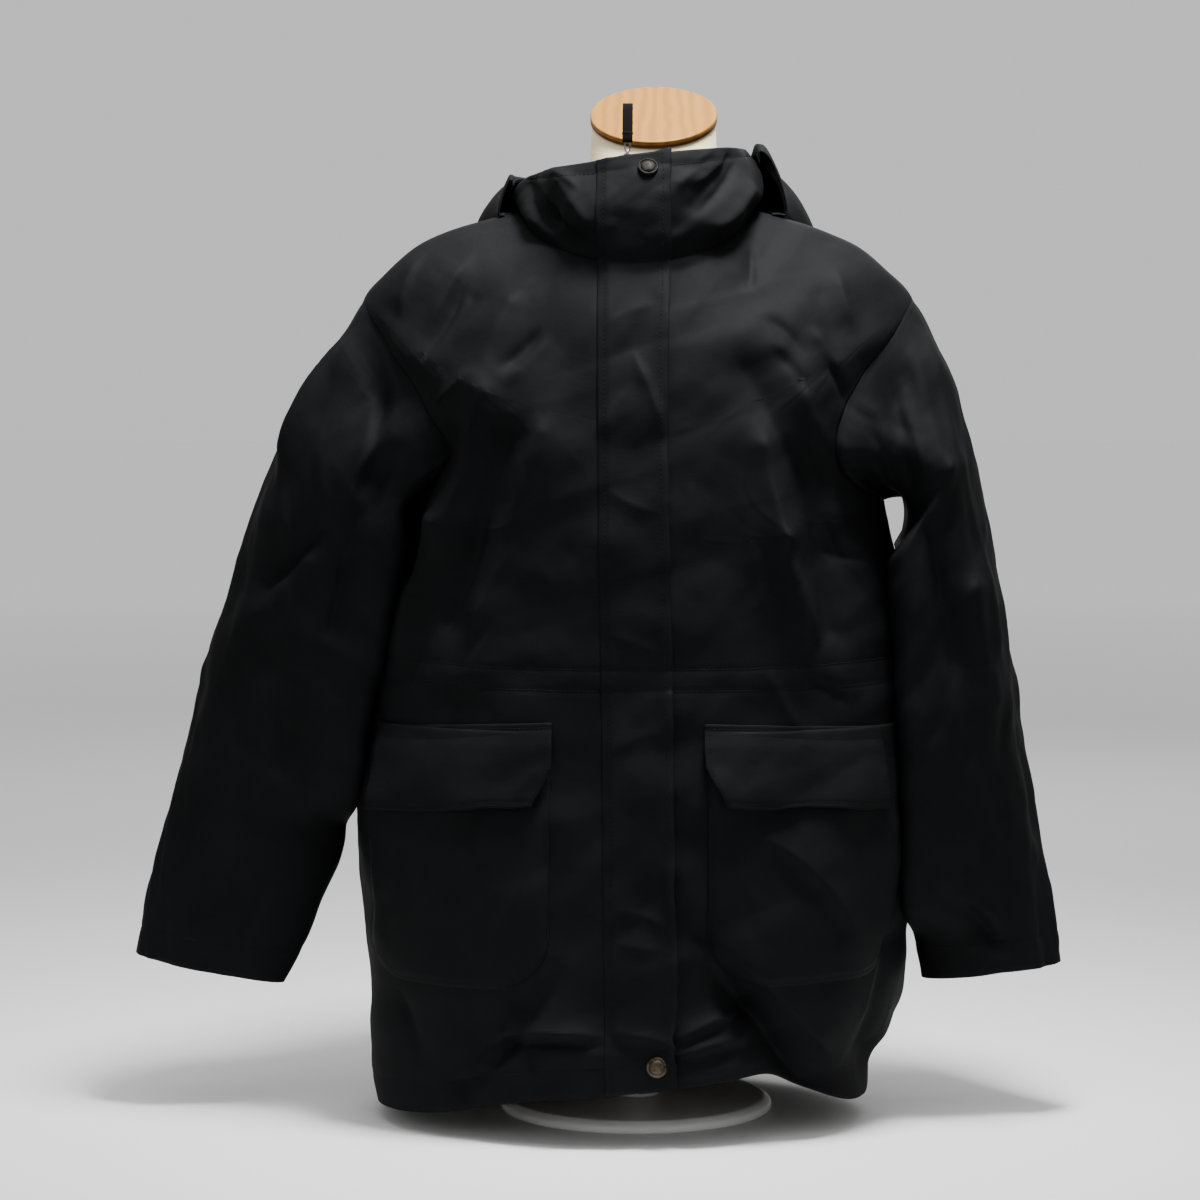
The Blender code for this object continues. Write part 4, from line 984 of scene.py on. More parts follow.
@dataclass
class Panels:
    """The two fronts and the back, cut from the body at the zip, side seams and armholes."""

    cut: BodyCut
    zip_half: float = 0.0072
    rows_shoulder: int = 64
    rows_armhole: int = 72
    rows_side: int = 200
    columns_front: int = 104
    columns_back: int = 84
    seam_depth: float = 0.0006
    seam_reach: float = 0.0022

    def rows(self) -> Array:
        """Rows down a panel: even over shoulder and side, as on a circle over the armhole."""
        shoulder = np.linspace(0.0, self.cut.tip, self.rows_shoulder + 1)
        angle = np.linspace(0.0, math.pi, self.rows_armhole + 1)
        armhole = self.cut.tip + (self.cut.pit - self.cut.tip) * (1.0 - np.cos(angle)) / 2.0
        side = np.linspace(self.cut.pit, self.cut.hem, self.rows_side + 1)
        return np.concatenate([shoulder, armhole[1:], side[1:]])

    def front_turns(self, side: Side, down: Array) -> Array:
        """Columns of a front at each row, evenly from the zip to the side seam or armhole."""
        edge = side.value * (self.zip_half + SEAM_GAP)
        start = np.abs(self.cut.rings.turn_at_x(edge, down))
        end = math.pi / 2 - self.cut.bite(down, self.cut.scye_front)
        share = even(self.columns_front)
        return side.value * (start[:, None] + (end - start)[:, None] * share)

    def back_turns(self, down: Array) -> Array:
        """Columns of the back at each row, from the left side seam round to the right."""
        bite = self.cut.bite(down, self.cut.scye_back)
        start, end = math.pi / 2 + bite, 3 * math.pi / 2 - bite
        share = even(self.columns_back)
        return start[:, None] + (end - start)[:, None] * share

    def grid(self, turns: Array, seams: Sequence[tuple[int, int]]) -> ClothGrid:
        """A panel's grid, drawn back half a seam gap and sunk along each seam.

        Args:
            turns: rows by columns.
            seams: (edge column, column next to it) for each side that is sewn.

        Returns:
            The cloth grid.
        """
        rows = np.repeat(self.rows()[:, None], turns.shape[1], axis=1)
        outer = self.cut.surface(turns, rows)
        normal = self.cut.normal(turns, rows)
        cloth = ClothGrid(outer, normal)
        for edge, inside in seams:
            outer[:, edge] -= edge_push(outer[:, edge], normal[:, edge],
                                        outer[:, inside]) * SEAM_GAP / 2
            self.sink(cloth, outer[:, edge:][:, :1].copy())
        outer[0] -= edge_push(outer[0], normal[0], outer[1]) * SEAM_GAP / 2
        self.sink(cloth, outer[:1].copy())
        return cloth

    def sink(self, cloth: ClothGrid, seam: Array) -> None:
        """Sinks a panel beside a seam, by depth exp(-(distance / reach) squared)."""
        away = np.linalg.norm(cloth.outer - seam, axis=-1, keepdims=True)
        depth = self.seam_depth * hump(away, self.seam_reach)
        cloth.outer = cloth.outer - cloth.normal * depth

    def front(self, side: Side) -> ClothGrid:
        """A front; its columns run to the wearer's left on both sides."""
        last = self.columns_front
        cloth = self.grid(self.front_turns(side, self.rows()), [(last, last - 1)])
        if side is Side.RIGHT:
            return ClothGrid(cloth.outer[:, ::-1], cloth.normal[:, ::-1])
        return cloth

    def back(self) -> ClothGrid:
        """The back, in one piece from side seam to side seam."""
        last = self.columns_back
        return self.grid(self.back_turns(self.rows()), [(0, 1), (last, last - 1)])

    def armhole(self, side: Side) -> tuple[Array, Array, Array]:
        """Points, normals and outward pushes round an armhole: tip, front, armpit, back."""
        down = self.rows()
        front, back = self.front_turns(side, down), self.back_turns(down)
        if side is Side.RIGHT:
            back = back[:, ::-1]
        span = slice(self.rows_shoulder, self.rows_shoulder + self.rows_armhole + 1)
        halves = []
        for turns in (front[:, ::-1], back):
            edge = self.cut.surface(turns[:, 0], down)
            normal = self.cut.normal(turns[:, 0], down)
            push = edge_push(edge, normal, self.cut.surface(turns[:, 1], down))
            halves.append([part[span] for part in (edge, normal, push)])
        points, normals, pushes = (np.concatenate([ahead, behind[-2:0:-1]])
                                   for ahead, behind in zip(*halves))
        for corner, end in ((0, 0), (self.rows_armhole, -1)):
            pushes[corner] = unit(halves[0][2][end] + halves[1][2][end])
        return points, unit(normals), pushes


@dataclass(frozen=True)
class CollarCut:
    """The stand collar as one surface; up runs from 0 at the neckline to 1 at the rim."""

    rings: Table
    folds: tuple[Fold, ...]
    creases: tuple[Crease, ...]
    slack: Unevenness = Unevenness(51, 0.0012, 0.020, 0.080, 10)
    tilt: float = 0.011
    blend: float = 0.30
    fold_from: float = 0.25
    rim_stitch: float = 0.86

    def surface(self, turn: Array, up: Array) -> Array:
        """An oval ring at each up, falling to the front, with its folds raised outward.

        The wearer's left side of the rim stands higher by the tilt.

        Args:
            turn: radians from centre front.
            up: share of the collar's height.

        Returns:
            Points.
        """
        turn, up = both(turn, up)
        side, ahead = np.sin(turn), np.cos(turn)
        points = self.rings.oval(turn, up)
        points[..., 2] += self.tilt * up * side
        x, z = points[..., 0], points[..., 2]
        raised = ease(ahead / self.blend) * relief(self.folds, self.creases, x, z)
        raised = (raised + self.slack.relief(0.09 * turn, z)) * ease(up / self.fold_from)
        raised = raised - 0.0007 * hump(up - self.rim_stitch, 0.03)
        return points + stack(side, -ahead, 0.0 * z) * raised[..., None]

    def normal(self, turn: Array, up: Array) -> Array:
        """Outward normal: the slope along turn crossed with the slope along up."""
        turn, up = both(turn, up)
        across = self.surface(turn + NUDGE, up) - self.surface(turn - NUDGE, up)
        rising = self.surface(turn, up + 0.004) - self.surface(turn, up - 0.004)
        return unit(np.cross(across, rising))


class Finish(NamedTuple):
    """How a piece is dressed: its material and the name of a slot."""

    material: Material
    slot: str


def dress(obj: Piece, finish: Finish, body: str = "root",
          replaced: Sequence[str] = ()) -> Piece:
    """Gives a piece its material and body, and hides the CAD nodes it stands for.

    Args:
        obj: the piece.
        finish: its material and slot; the slot is not used.
        body: the CAD body it moves with.
        replaced: names of CAD nodes.

    Returns:
        The same object.
    """
    obj.data.materials.clear()
    obj.data.materials.append(finish.material)
    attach(obj, body)
    if replaced:
        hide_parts(*replaced)
    LOG.info("%s: %d faces on %s", obj.name, len(obj.data.polygons), body)
    return obj


@dataclass
class Needle:
    """Topstitching: runs of small rounded threads, gathered into one mesh for each piece."""

    pitch: float = 0.0036
    length: float = 0.0028
    radius: float = 0.00030
    lift: float = 0.00010
    sides: int = 4

    def run(self, points: Array, normals: Array) -> Array:
        """Stitches along a line, as an array of stitches by rings by sides by 3.

        Each stitch is a tube about its chord, whose radius is radius times sin(pi t) to 0.4 and
        whose middle stands off the cloth by lift.

        Args:
            points: the line's points.
            normals: the cloth's normals there.

        Returns:
            The tubes' points.
        """
        length = lengths(points)
        count = max(int(length[-1] / self.pitch), 1)
        middle = (np.arange(count) + 0.5) * length[-1] / count
        t = np.array([0.02, 0.25, 0.75, 0.98])
        place = middle[:, None] + (t - 0.5) * self.length
        spot, out = (np.stack([np.interp(place, length, line[:, k]) for k in range(3)], axis=-1)
                     for line in (points, normals))
        out = unit(out)
        ahead = unit(spot[:, -1:] - spot[:, :1])
        beside = unit(np.cross(out, ahead))
        angle = circle(self.sides)[:, None]
        radius = (self.radius * np.sin(math.pi * t) ** 0.4)[:, None, None]
        spot = spot + out * self.lift
        return spot[:, :, None] + radius * (np.cos(angle) * beside[:, :, None]
                                            + np.sin(angle) * out[:, :, None])

    def sew(self, name: str, lines: Sequence[tuple[Array, Array]]) -> Piece:
        """One mesh of every stitch along the lines.

        Args:
            name: the piece's name.
            lines: (points, normals) for each line.

        Returns:
            The piece.
        """
        tubes = np.concatenate([self.run(*line) for line in lines])
        count, rings, sides = tubes.shape[:3]
        index = np.arange(tubes[..., 0].size).reshape(count, rings, sides)
        after = np.roll(index, -1, axis=2)
        walls = np.stack([index[:, :-1], index[:, 1:], after[:, 1:], after[:, :-1]], axis=-1)
        ends = [index[:, 0, ::-1], index[:, -1]]
        return new_object(name, tubes, [walls.reshape(-1, 4), *ends])


@dataclass(frozen=True)
class FlatCut:
    """The piece as cut from the roll: width and length, and its area as a share of them."""

    width: float
    length: float
    share: float = 1.0


@dataclass
class Shell:
    """What every sewn piece shares: finishes and needle."""

    wardrobe: Wardrobe
    needle: Needle

    def sew(self, node: str, grid: ClothGrid, lines: Sequence[tuple[Array, Array]], cut: FlatCut,
            held: str, rests_on: Sequence[str]) -> None:
        """Builds a cloth wall that stands for a CAD node, and its topstitching.

        Args:
            node: the CAD node's name.
            grid: the cloth.
            lines: (points, normals) of the stitched lines.
            cut: the piece as cut from the roll; not used.
            held: how it is held; not used.
            rests_on: what it hangs from or lies on; not used.
        """
        cloth = dress(grid.make(node + "_cloth"), Finish(self.wardrobe.shell, "shell"),
                      replaced=[node])
        sewn = dress(self.needle.sew(node + "_stitching", lines),
                     Finish(self.wardrobe.thread, "trim"))


@dataclass
class Bodice:
    """Fronts and back, with their topstitched hem, casing and seams."""

    shell: Shell
    panels: Panels
    front_cut: FlatCut = FlatCut(0.30, 0.80, 0.80)
    back_cut: FlatCut = FlatCut(0.58, 0.80, 0.87)

    def stitch_rows(self) -> list[float]:
        """Fractional rows of the casing's two lines and the hem's line."""
        down = self.panels.rows()
        places = [*self.panels.cut.casing, self.panels.cut.hem - self.panels.cut.hem_turning]
        return [float(np.interp(place, down, np.arange(len(down)))) for place in places]

    def make(self) -> None:
        """Builds the three panels, stitched along casing and hem."""
        for name, grid, cut in (("front_left", self.panels.front(Side.LEFT), self.front_cut),
                                ("front_right", self.panels.front(Side.RIGHT), self.front_cut),
                                ("back", self.panels.back(), self.back_cut)):
            across = np.linspace(0.4, grid.outer.shape[1] - 1.4, 400)
            lines = [grid.at(row, across) for row in self.stitch_rows()]
            self.shell.sew(name, grid, lines, cut, "hung", ["form_torso_cover"])


@dataclass
class SleeveCut:
    """One set-in sleeve: an oval ring at each distance along, bent to its armhole at the top."""

    side: Side
    rings: Table
    folds: tuple[Fold, ...]
    creases: tuple[Crease, ...]
    back_creases: tuple[Crease, ...]
    slack: Unevenness
    cap_fade: float = 0.10
    blend: float = 0.5
    fold_from: float = 0.03
    cuff_turning: float = 0.022
    length: float = 0.565
    touching: float = 0.0022
    tuck: float = 0.012
    ahead: float = 0.050

    def ring(self, panels: Panels, angle: Array, along: Array) -> Array:
        """Ovals between an outer line and an inner line that stands clear of the body.

        The inner line hangs a little ahead of the body's side, and where the oval would meet the
        body it is pressed flat against it: x is at least the body's half width times
        (1 - (|y| / depth)^(2 / square))^(square / 2), plus the clearance.

        Args:
            panels: the body's panels.
            angle: radians round, from the outer line over the front.
            along: metres from the shoulder tip.

        Returns:
            Points.
        """
        line = self.rings.at
        in_z, depth = line("in_z", along), line("depth", along)
        clear = line("clear", along)
        near = 1.0 - ease((clear - self.touching) / 0.006)
        in_x = panels.cut.side_reach(self.side, in_z) + clear - self.tuck * near
        reach_x, reach_z = (line("out_x", along) - in_x) / 2, (line("out_z", along) - in_z) / 2
        x = in_x + reach_x + reach_x * np.cos(angle)
        inner = ((1.0 - np.cos(angle)) / 2.0) ** 3
        y = -depth * np.sin(angle) - self.ahead * near * inner
        z = in_z + reach_z + reach_z * np.cos(angle)
        half = panels.cut.side_reach(self.side, z) + np.minimum(clear, self.touching)
        wall = half * (1.0 - np.clip(np.abs(y) / 0.137, 0.0, 0.999) ** 2.17) ** 0.46
        x = np.where(z < panels.cut.armpit_z, np.maximum(x, wall), x)
        return stack(self.side.value * x, y, z)

    def stations(self, rows: int) -> Array:
        """Distances of the rows from the shoulder tip, closer together near the armhole."""
        return self.length * (0.55 * even(rows) + 0.45 * even(rows) ** 1.8)

    def grid(self, panels: Panels, rows: int = 168) -> ClothGrid:
        """The sleeve: rings bent to the armhole, then raised outward by folds and creases.

        Args:
            panels: the body's panels.
            rows: rows from armhole to cuff.

        Returns:
            The closed cloth grid.
        """
        loop, normals, pushes = panels.armhole(self.side)
        around = circle(len(loop))
        angle, along = np.meshgrid(around, self.stations(rows))
        plain = self.ring(panels, angle, along)
        bend = (1.0 - ease(along / self.cap_fade))[..., None]
        plain = plain + (loop - self.ring(panels, angle, np.zeros_like(along))) * bend
        outward = unit(plain - plain.mean(axis=1, keepdims=True))
        outer = plain + outward * self.relief(plain, angle, along)[..., None]
        outer[0] = outer[0] + pushes * SEAM_GAP / 2
        cloth = ClothGrid(outer, grid_normals(outer, True), closed=True)
        if dot(cloth.normal, outward).mean() < 0.0:
            cloth.normal = -cloth.normal
        cloth.normal[0] = normals
        return cloth

    def relief(self, plain: Array, angle: Array, along: Array) -> Array:
        """Folds, creases of the front and back half, slack, cap puckers and the cuff's hem.

        Args:
            plain: the ring points.
            angle: radians round.
            along: metres from the shoulder tip.

        Returns:
            Height outward.
        """
        x, z = plain[..., 0], plain[..., 2]
        ahead = np.sin(angle)
        grown = ease(along / self.fold_from)
        total = fold_relief(self.folds, x, z) * ease(np.abs(ahead) / self.blend)
        total += crease_relief(self.creases, x, z) * ease(ahead / 0.35)
        total += crease_relief(self.back_creases, x, z) * ease(-ahead / 0.35)
        total += self.slack.relief(0.09 * angle * (2 * math.pi - angle) / math.pi, along)
        total = total * grown
        total += pucker(angle, along - 0.010, 31, 0.010, 0.0007) * ease(along / 0.007)
        total -= HEM_GROOVE * hump(along, 0.0022) * ease(along / 0.0008)
        line = self.length - self.cuff_turning
        total -= HEM_GROOVE * hump(along - line, 0.002)
        return total + pucker(angle, along - line, 23, 0.012, 0.00045)


@dataclass
class Sleeve:
    """A sleeve in cloth, with its cuff hem sewn down."""

    shell: Shell
    cut: SleeveCut
    flat: FlatCut = FlatCut(0.46, 0.60, 0.68)

    def make(self, panels: Panels) -> None:
        """Builds the sleeve on the body's panels, with its cuff hem sewn down."""
        side = self.cut.side.name.lower()
        grid = self.cut.grid(panels)
        rows = grid.outer.shape[0] - 1
        row = np.interp(self.cut.length - self.cut.cuff_turning, self.cut.stations(rows),
                        np.arange(rows + 1))
        across = np.linspace(0.0, grid.outer.shape[1], 400)
        self.shell.sew("sleeve_" + side, grid, [grid.at(row, across)], self.flat, "hung",
                       [f"front_{side}_cloth", "back_cloth"])


@dataclass
class Collar:
    """The stand collar, whose columns are those of the fronts and back at the neckline."""

    shell: Shell
    panels: Panels
    cut: CollarCut
    rows: int = 40
    reach_down: float = 0.0008
    flat: FlatCut = FlatCut(0.58, 0.085, 0.78)

    def turns(self, up: Array) -> Array:
        """Columns at each row, from the zip round the back to the zip again."""
        halves = []
        for side in (Side.LEFT, Side.RIGHT):
            edge = side.value * (self.panels.zip_half + SEAM_GAP)
            start = np.abs(self.cut.rings.turn_at_x(edge, up))[:, None]
            share = even(self.panels.columns_front)
            halves.append(side.value * (start + (math.pi / 2 - start) * share))
        back = np.repeat(self.panels.back_turns(np.zeros(1)), len(up), axis=0)
        return np.concatenate([halves[0], back[:, 1:-1], halves[1][:, ::-1] + 2 * math.pi], axis=1)

    def make(self) -> None:
        """Builds the collar from rim down to neckline, stitched below its rim."""
        up = np.linspace(1.0, 0.0, self.rows + 1)
        turn = self.turns(up)
        rise = np.repeat(up[:, None], turn.shape[1], axis=1)
        outer, normal = self.cut.surface(turn, rise), self.cut.normal(turn, rise)
        normal[-1] = neck_normal(self.panels.cut, self.cut, turn[-1])
        outer[-1] += edge_push(outer[-1], unit(normal[-1]), outer[-2]) * self.reach_down
        grid = ClothGrid(outer, normal)
        line = grid.at(self.rows * (1.0 - self.cut.rim_stitch),
                       np.linspace(0.5, turn.shape[1] - 1.5, 700))
        self.shell.sew("collar", grid, [line], self.flat, "folded",
                       ["front_left_cloth", "front_right_cloth", "back_cloth"])


def neck_normal(body: BodyCut, collar: CollarCut, turn: Array) -> Array:
    """The mitre of body and collar at the neckline: (a + b) / (1 + a . b)."""
    below, above = body.normal(turn, np.zeros_like(turn)), collar.normal(turn, np.zeros_like(turn))
    return (below + above) / (1.0 + dot(below, above))


@dataclass
class Hood:
    """The hood let down on the back: down the back, round its fold and up to its rim."""

    shell: Shell
    body: BodyCut
    spread: Table
    section: Table
    folds: tuple[Fold, ...]
    slack: Unevenness = Unevenness(71, 0.0012, 0.030, 0.120, 10)
    turn_back: float = 0.55
    gap: float = 0.0014
    lean: float = 0.26
    stands: Pair = (35.0, 65.0)
    fold_from: float = 0.1
    across: int = 150
    along: int = 96
    rim_stitch: float = 0.955
    flat: FlatCut = FlatCut(0.50, 0.28, 0.90)

    def surface(self, turn: Array, path: Array) -> Array:
        """The outer side: body + gap, plus its lift along the body's normal, or upright aside.

        Args:
            turn: radians from centre back, + to the left.
            path: 0 at the neck seam to 1 at the rim.

        Returns:
            Points.
        """
        degrees = np.degrees(turn)
        spread = self.spread.at
        to_rim = ease((path - self.turn_back) / (1.0 - self.turn_back))
        lift = np.maximum(self.section.at("lift", path), 0.0)
        lift = lift * (1.0 - (1.0 - spread("rim", degrees)) * to_rim)
        share = self.section.at("share", path) + spread("mouth", degrees) * to_rim
        base = spread("base", degrees)
        down = base + (spread("reach", degrees) - base) * share
        spot = math.pi - turn
        square = slope_normal(self.body.plain, spot, down)
        upright = unit(stack(-self.lean * np.sign(turn), 0.0 * turn, np.ones_like(turn)))
        turned = ease((np.abs(degrees) - self.stands[0]) / (self.stands[1] - self.stands[0]))
        direction = unit(square * (1.0 - turned[..., None]) + upright * turned[..., None])
        grown = ease((path - self.turn_back) / self.fold_from)
        raised = fold_relief(self.folds, degrees / 100.0, path)
        raised = (raised + self.slack.relief(0.15 * turn, 0.2 * path)) * grown
        height = np.maximum(spread("rise", degrees) * lift + raised, 0.0)[..., None]
        return self.body.surface(spot, down) + square * self.gap + direction * height

    def make(self) -> None:
        """Builds the hood, with a stitched groove along its rim."""
        turn = np.radians(np.linspace(-95.0, 95.0, self.across + 1))
        turn, path = np.meshgrid(turn, even(self.along))
        outer = self.surface(turn, path)
        grid = ClothGrid(outer, -grid_normals(outer, False))
        row = self.along * self.rim_stitch
        groove = hump(np.arange(self.along + 1) - row, 0.9)[:, None, None]
        grid.outer = outer - grid.normal * HEM_GROOVE * groove
        line = grid.at(row, np.linspace(0.5, self.across - 0.5, 500))
        self.shell.sew("hood", grid, [line], self.flat, "folded", ["back_cloth"])


@dataclass
class FrontStrip:
    """What runs up the front from the hem, over the collar, to the rim: storm flap and zip."""

    body: BodyCut
    collar: CollarCut
    panels: Panels

    def points(self, columns_at: Callable[[Array], Array], low: float, stop_up: float,
               relief: Callable[[Array, Array], Array], rows: int = 300,
               rows_up: int = 44) -> tuple[Array, Array]:
        """Points and normals of the strip, from its upper end down.

        Args:
            columns_at: the x of the strip's columns at given heights.
            low: down of the strip's lower end.
            stop_up: up of its upper end.
            relief: height over (x, z).
            rows: rows on the body.
            rows_up: rows on the collar.

        Returns:
            (points, normals).
        """
        down = np.linspace(low, 0.0, rows + 1)
        x = columns_at(self.body.plain(np.zeros_like(down), down)[..., 2])
        grid_down = np.repeat(down[:, None], x.shape[1], axis=1)
        turn = self.body.rings.turn_at_x(x, grid_down)
        up = np.linspace(0.0, stop_up, rows_up + 1)[1:]
        x_up = columns_at(self.collar.surface(np.zeros_like(up), up)[..., 2])
        grid_up = np.repeat(up[:, None], x.shape[1], axis=1)
        turn_up = self.collar.rings.turn_at_x(x_up, grid_up)
        normals = self.body.normal(turn, grid_down)
        normals[-1] = neck_normal(self.body, self.collar, turn[-1])
        points = np.concatenate([self.body.surface(turn, grid_down),
                                 self.collar.surface(turn_up, grid_up)])
        normals = np.concatenate([normals, self.collar.normal(turn_up, grid_up)])
        raised = relief(points[..., 0], points[..., 2])[..., None]
        return (points + normals * raised)[::-1], normals[::-1]


@dataclass
class StormFlap:
    """The flap over the zip, sewn along its right edge, with its free edge standing off."""

    shell: Shell
    strip: FrontStrip
    edges: Table
    creases: tuple[Crease, ...]
    columns: int = 34
    above_hem: float = 0.0015
    stitch_in: float = 0.0055
    width: float = 0.056
    sewn_down: float = 0.0022
    flat: FlatCut = FlatCut(0.057, 0.785, 1.0)

    def columns_at(self, z: Array) -> Array:
        """Columns at heights z, evenly from the right edge to the left."""
        share = even(self.columns)
        right, left = self.edges.at("x_right", z)[:, None], self.edges.at("x_left", z)[:, None]
        return right + (left - right) * share

    def relief(self, x: Array, z: Array) -> Array:
        """Gap, creases that only rise, a lifted free edge, a sewn edge and its stitch groove."""
        right, left = self.edges.at("x_right", z), self.edges.at("x_left", z)
        raised = np.maximum(crease_relief(self.creases, x, z), -0.0003)
        lift = 0.0022 + 0.0010 * np.sin(z * 41.0) + 0.0006 * np.sin(z * 97.0 + 1.0)
        lift += 0.0030 * ease((0.28 - z) / 0.10)
        free = np.maximum(lift, 0.0) * hump(left - x, 0.009)
        total = LIE_GAP + CLOTH + 0.0006 + raised + free
        total -= self.sewn_down * hump(x - right, 0.005)
        return total - GROOVE * hump(x - right - self.stitch_in, 0.0016)

    def make(self) -> None:
        """Builds the flap and the stitching along its edges."""
        grid = ClothGrid(*self.strip.points(self.columns_at, self.strip.body.hem - self.above_hem,
                                            1.0, self.relief))
        rows, columns = grid.outer.shape[:2]
        down = np.linspace(0.6, rows - 1.6, 900)
        inset = self.stitch_in / self.width * (columns - 1)
        lines = [grid.at(down, inset), grid.at(down, columns - 1 - inset)]
        self.shell.sew("storm_flap", grid, lines, self.flat, "hung",
                       ["front_left_cloth", "front_right_cloth"])


@dataclass
class PocketShape:
    """A patch pocket and its flap, as outlines seen from the front, in metres."""

    side: Side
    x_in: float
    x_out: float
    z_top: float
    z_bottom: float
    r_in: float
    r_out: float
    flap_in: float
    flap_out: float
    flap_z_in: float
    flap_z_out: float
    flap_drop: float
    cut_x: float
    cut_z: float
    creases: tuple[Crease, ...]


@dataclass
class Pocket:
    """A patch pocket with round lower corners, and the flap that covers its mouth."""

    shell: Shell
    body: BodyCut
    shape: PocketShape
    gap: float = 0.0010
    sewn_down: float = 0.0018
    puff: float = 0.004
    ring: float = 0.60
    across: int = 76
    rows: int = 92
    stitch_in: float = 0.0035
    flat: FlatCut = FlatCut(0.182, 0.205, 0.96)
    flap_flat: FlatCut = FlatCut(0.166, 0.068, 0.97)

    def spread(self, start: Array, end: float, share: Array) -> Array:
        """Distances from centre front that lie evenly round the body, from start to end."""
        sign = self.shape.side.value
        first = self.body.rings.turn_at_x(sign * start, self.ring)
        last = self.body.rings.turn_at_x(sign * end, self.ring)
        turns = first + (last - first) * share
        return np.abs(self.body.plain(turns, self.ring + 0.0 * turns)[..., 0])

    def lay(self, x: Array, z: Array, stand: Array) -> ClothGrid:
        """A grid that stands off the front by the given heights, columns running left."""
        sign = self.shape.side.value
        turn, down = self.body.find_on_front(sign * x, z)
        normal = self.body.normal(turn, down)
        outer = self.body.surface(turn, down) + normal * (stand + CLOTH)[..., None]
        if sign < 0:
            outer, normal = outer[:, ::-1], normal[:, ::-1]
        return ClothGrid(outer, unit(normal + 0.9 * grid_normals(outer, False)))

    def patch(self) -> ClothGrid:
        """The pocket: its lower edge rises to both sides by quarter circles of its radii."""
        s = self.shape
        share = even(self.across)
        share = (share + (1.0 - np.cos(math.pi * share)) / 2.0) / 2.0
        x = self.spread(np.asarray(s.x_in), s.x_out, share)
        inner = np.clip(1 - (x - s.x_in) / s.r_in, 0.0, 1.0)
        outer = np.clip(1 - (s.x_out - x) / s.r_out, 0.0, 1.0)
        low = s.z_bottom + s.r_in * (1 - np.sqrt(1 - inner ** 2))
        low += s.r_out * (1 - np.sqrt(1 - outer ** 2))
        drop = even(self.rows)[:, None]
        z = s.z_top + (low - s.z_top) * drop
        x = np.broadcast_to(x, z.shape)
        bulge = np.sqrt(np.sin(math.pi * share) * np.sin(math.pi * drop))
        stand = self.gap + self.puff * bulge
        creased = crease_relief(s.creases, s.side.value * x, z)
        stand = np.maximum(stand + creased * ease(bulge / 0.4), self.gap)
        edge = np.minimum(np.minimum(x - s.x_in, s.x_out - x), z - low)
        stand -= self.sewn_down * hump(edge, 0.004)
        stand -= GROOVE * hump(edge - self.stitch_in, 0.0015)
        return self.lay(x, z, stand)

    def cover(self) -> ClothGrid:
        """The flap: a band whose inner lower corner is cut off at a slant."""
        s = self.shape
        fall = np.linspace(0.0, 1.0, 41)[:, None]
        share = np.linspace(0.0, 1.0, 71)
        past = np.clip((fall * s.flap_drop - (s.flap_drop - s.cut_z)) / s.cut_z, 0.0, 1.0)
        x = self.spread(s.flap_in + s.cut_x * past, s.flap_out, share)
        z = s.flap_z_in + (s.flap_z_out - s.flap_z_in) * share - s.flap_drop * fall
        over = 0.0003 + (CLOTH + 0.0012) * ease(fall / 0.30) + 0.0030 * ease(fall / 0.6)
        over = over + 0.0034 * ease((fall - 0.45) / 0.5)
        over = over + 0.0008 * np.sin(9.0 * share + s.side.value) * ease((fall - 0.3) / 0.6)
        over = over + 0.0022 * hump(share - 0.30, 0.10) * ease((fall - 0.1) / 0.9)
        for away in (fall - 0.065, 0.945 - fall):
            over = over - GROOVE * hump(away, 0.022)
        return self.lay(x, z, over)

    def make(self) -> None:
        """Builds pocket, flap and their topstitching."""
        side = self.shape.side.name.lower()
        for kind, grid, cut, ends in (("pocket_", self.patch(), self.flat, (1, 2, 3)),
                                      ("pocket_flap_", self.cover(), self.flap_flat, range(4))):
            self.shell.sew(kind + side, grid, self.border(grid, ends), cut, "hung",
                           [f"front_{side}_cloth"])

    def border(self, grid: ClothGrid, ends: Sequence[int]) -> list[tuple[Array, Array]]:
        """Lines one stitch inset inside a grid's top (0), right (1), bottom (2) and left (3)."""
        rows, columns = grid.outer.shape[0] - 1, grid.outer.shape[1] - 1
        steps = np.arange(1, min(rows, columns) // 2)
        lines = []
        for end in ends:
            if end in (0, 2):
                t = np.linspace(0.03, 0.97, 260) * columns
                size = np.linalg.norm(grid.outer[1, columns // 2] - grid.outer[0, columns // 2])
                r = self.stitch_in / size
                lines.append(grid.at(r if end == 0 else rows - r, t))
            else:
                t = np.linspace(0.03, 0.97, 260) * rows
                column = 0 if end == 3 else columns
                near = grid.outer[rows // 2, steps if end == 3 else columns - steps]
                away = np.linalg.norm(near - grid.outer[rows // 2, column], axis=-1)
                c = np.interp(self.stitch_in, away, steps)
                lines.append(grid.at(t, c if end == 3 else columns - c))
        return lines


# --- hardware
@dataclass
class Snap:
    """A press stud's cap: a rolled rim, a sunk ring and a low dome."""

    name: str
    finish: Finish
    radius: float = 0.0083
    gap: float = 0.0010
    profile: tuple[Pair, ...] = (
        (0.0, 0.0), (0.94, 0.0), (1.0, 0.0004), (1.0, 0.0012), (0.95, 0.0018), (0.86, 0.0021),
        (0.79, 0.0018), (0.75, 0.0014), (0.70, 0.0014), (0.66, 0.0019), (0.60, 0.0022),
        (0.45, 0.0026), (0.22, 0.0029), (0.0, 0.0030))

    def make(self, point: Array, normal: Array) -> Piece:
        """Builds the cap on a point of the storm flap, along the flap's normal."""
        profile = rounded([(r * self.radius, h) for r, h in self.profile], 0.0003, 2)
        cap = turned(self.name + "_cap", point + normal * (self.gap - 0.0006), normal, profile, 72)
        return dress(cap, self.finish, replaced=[self.name])


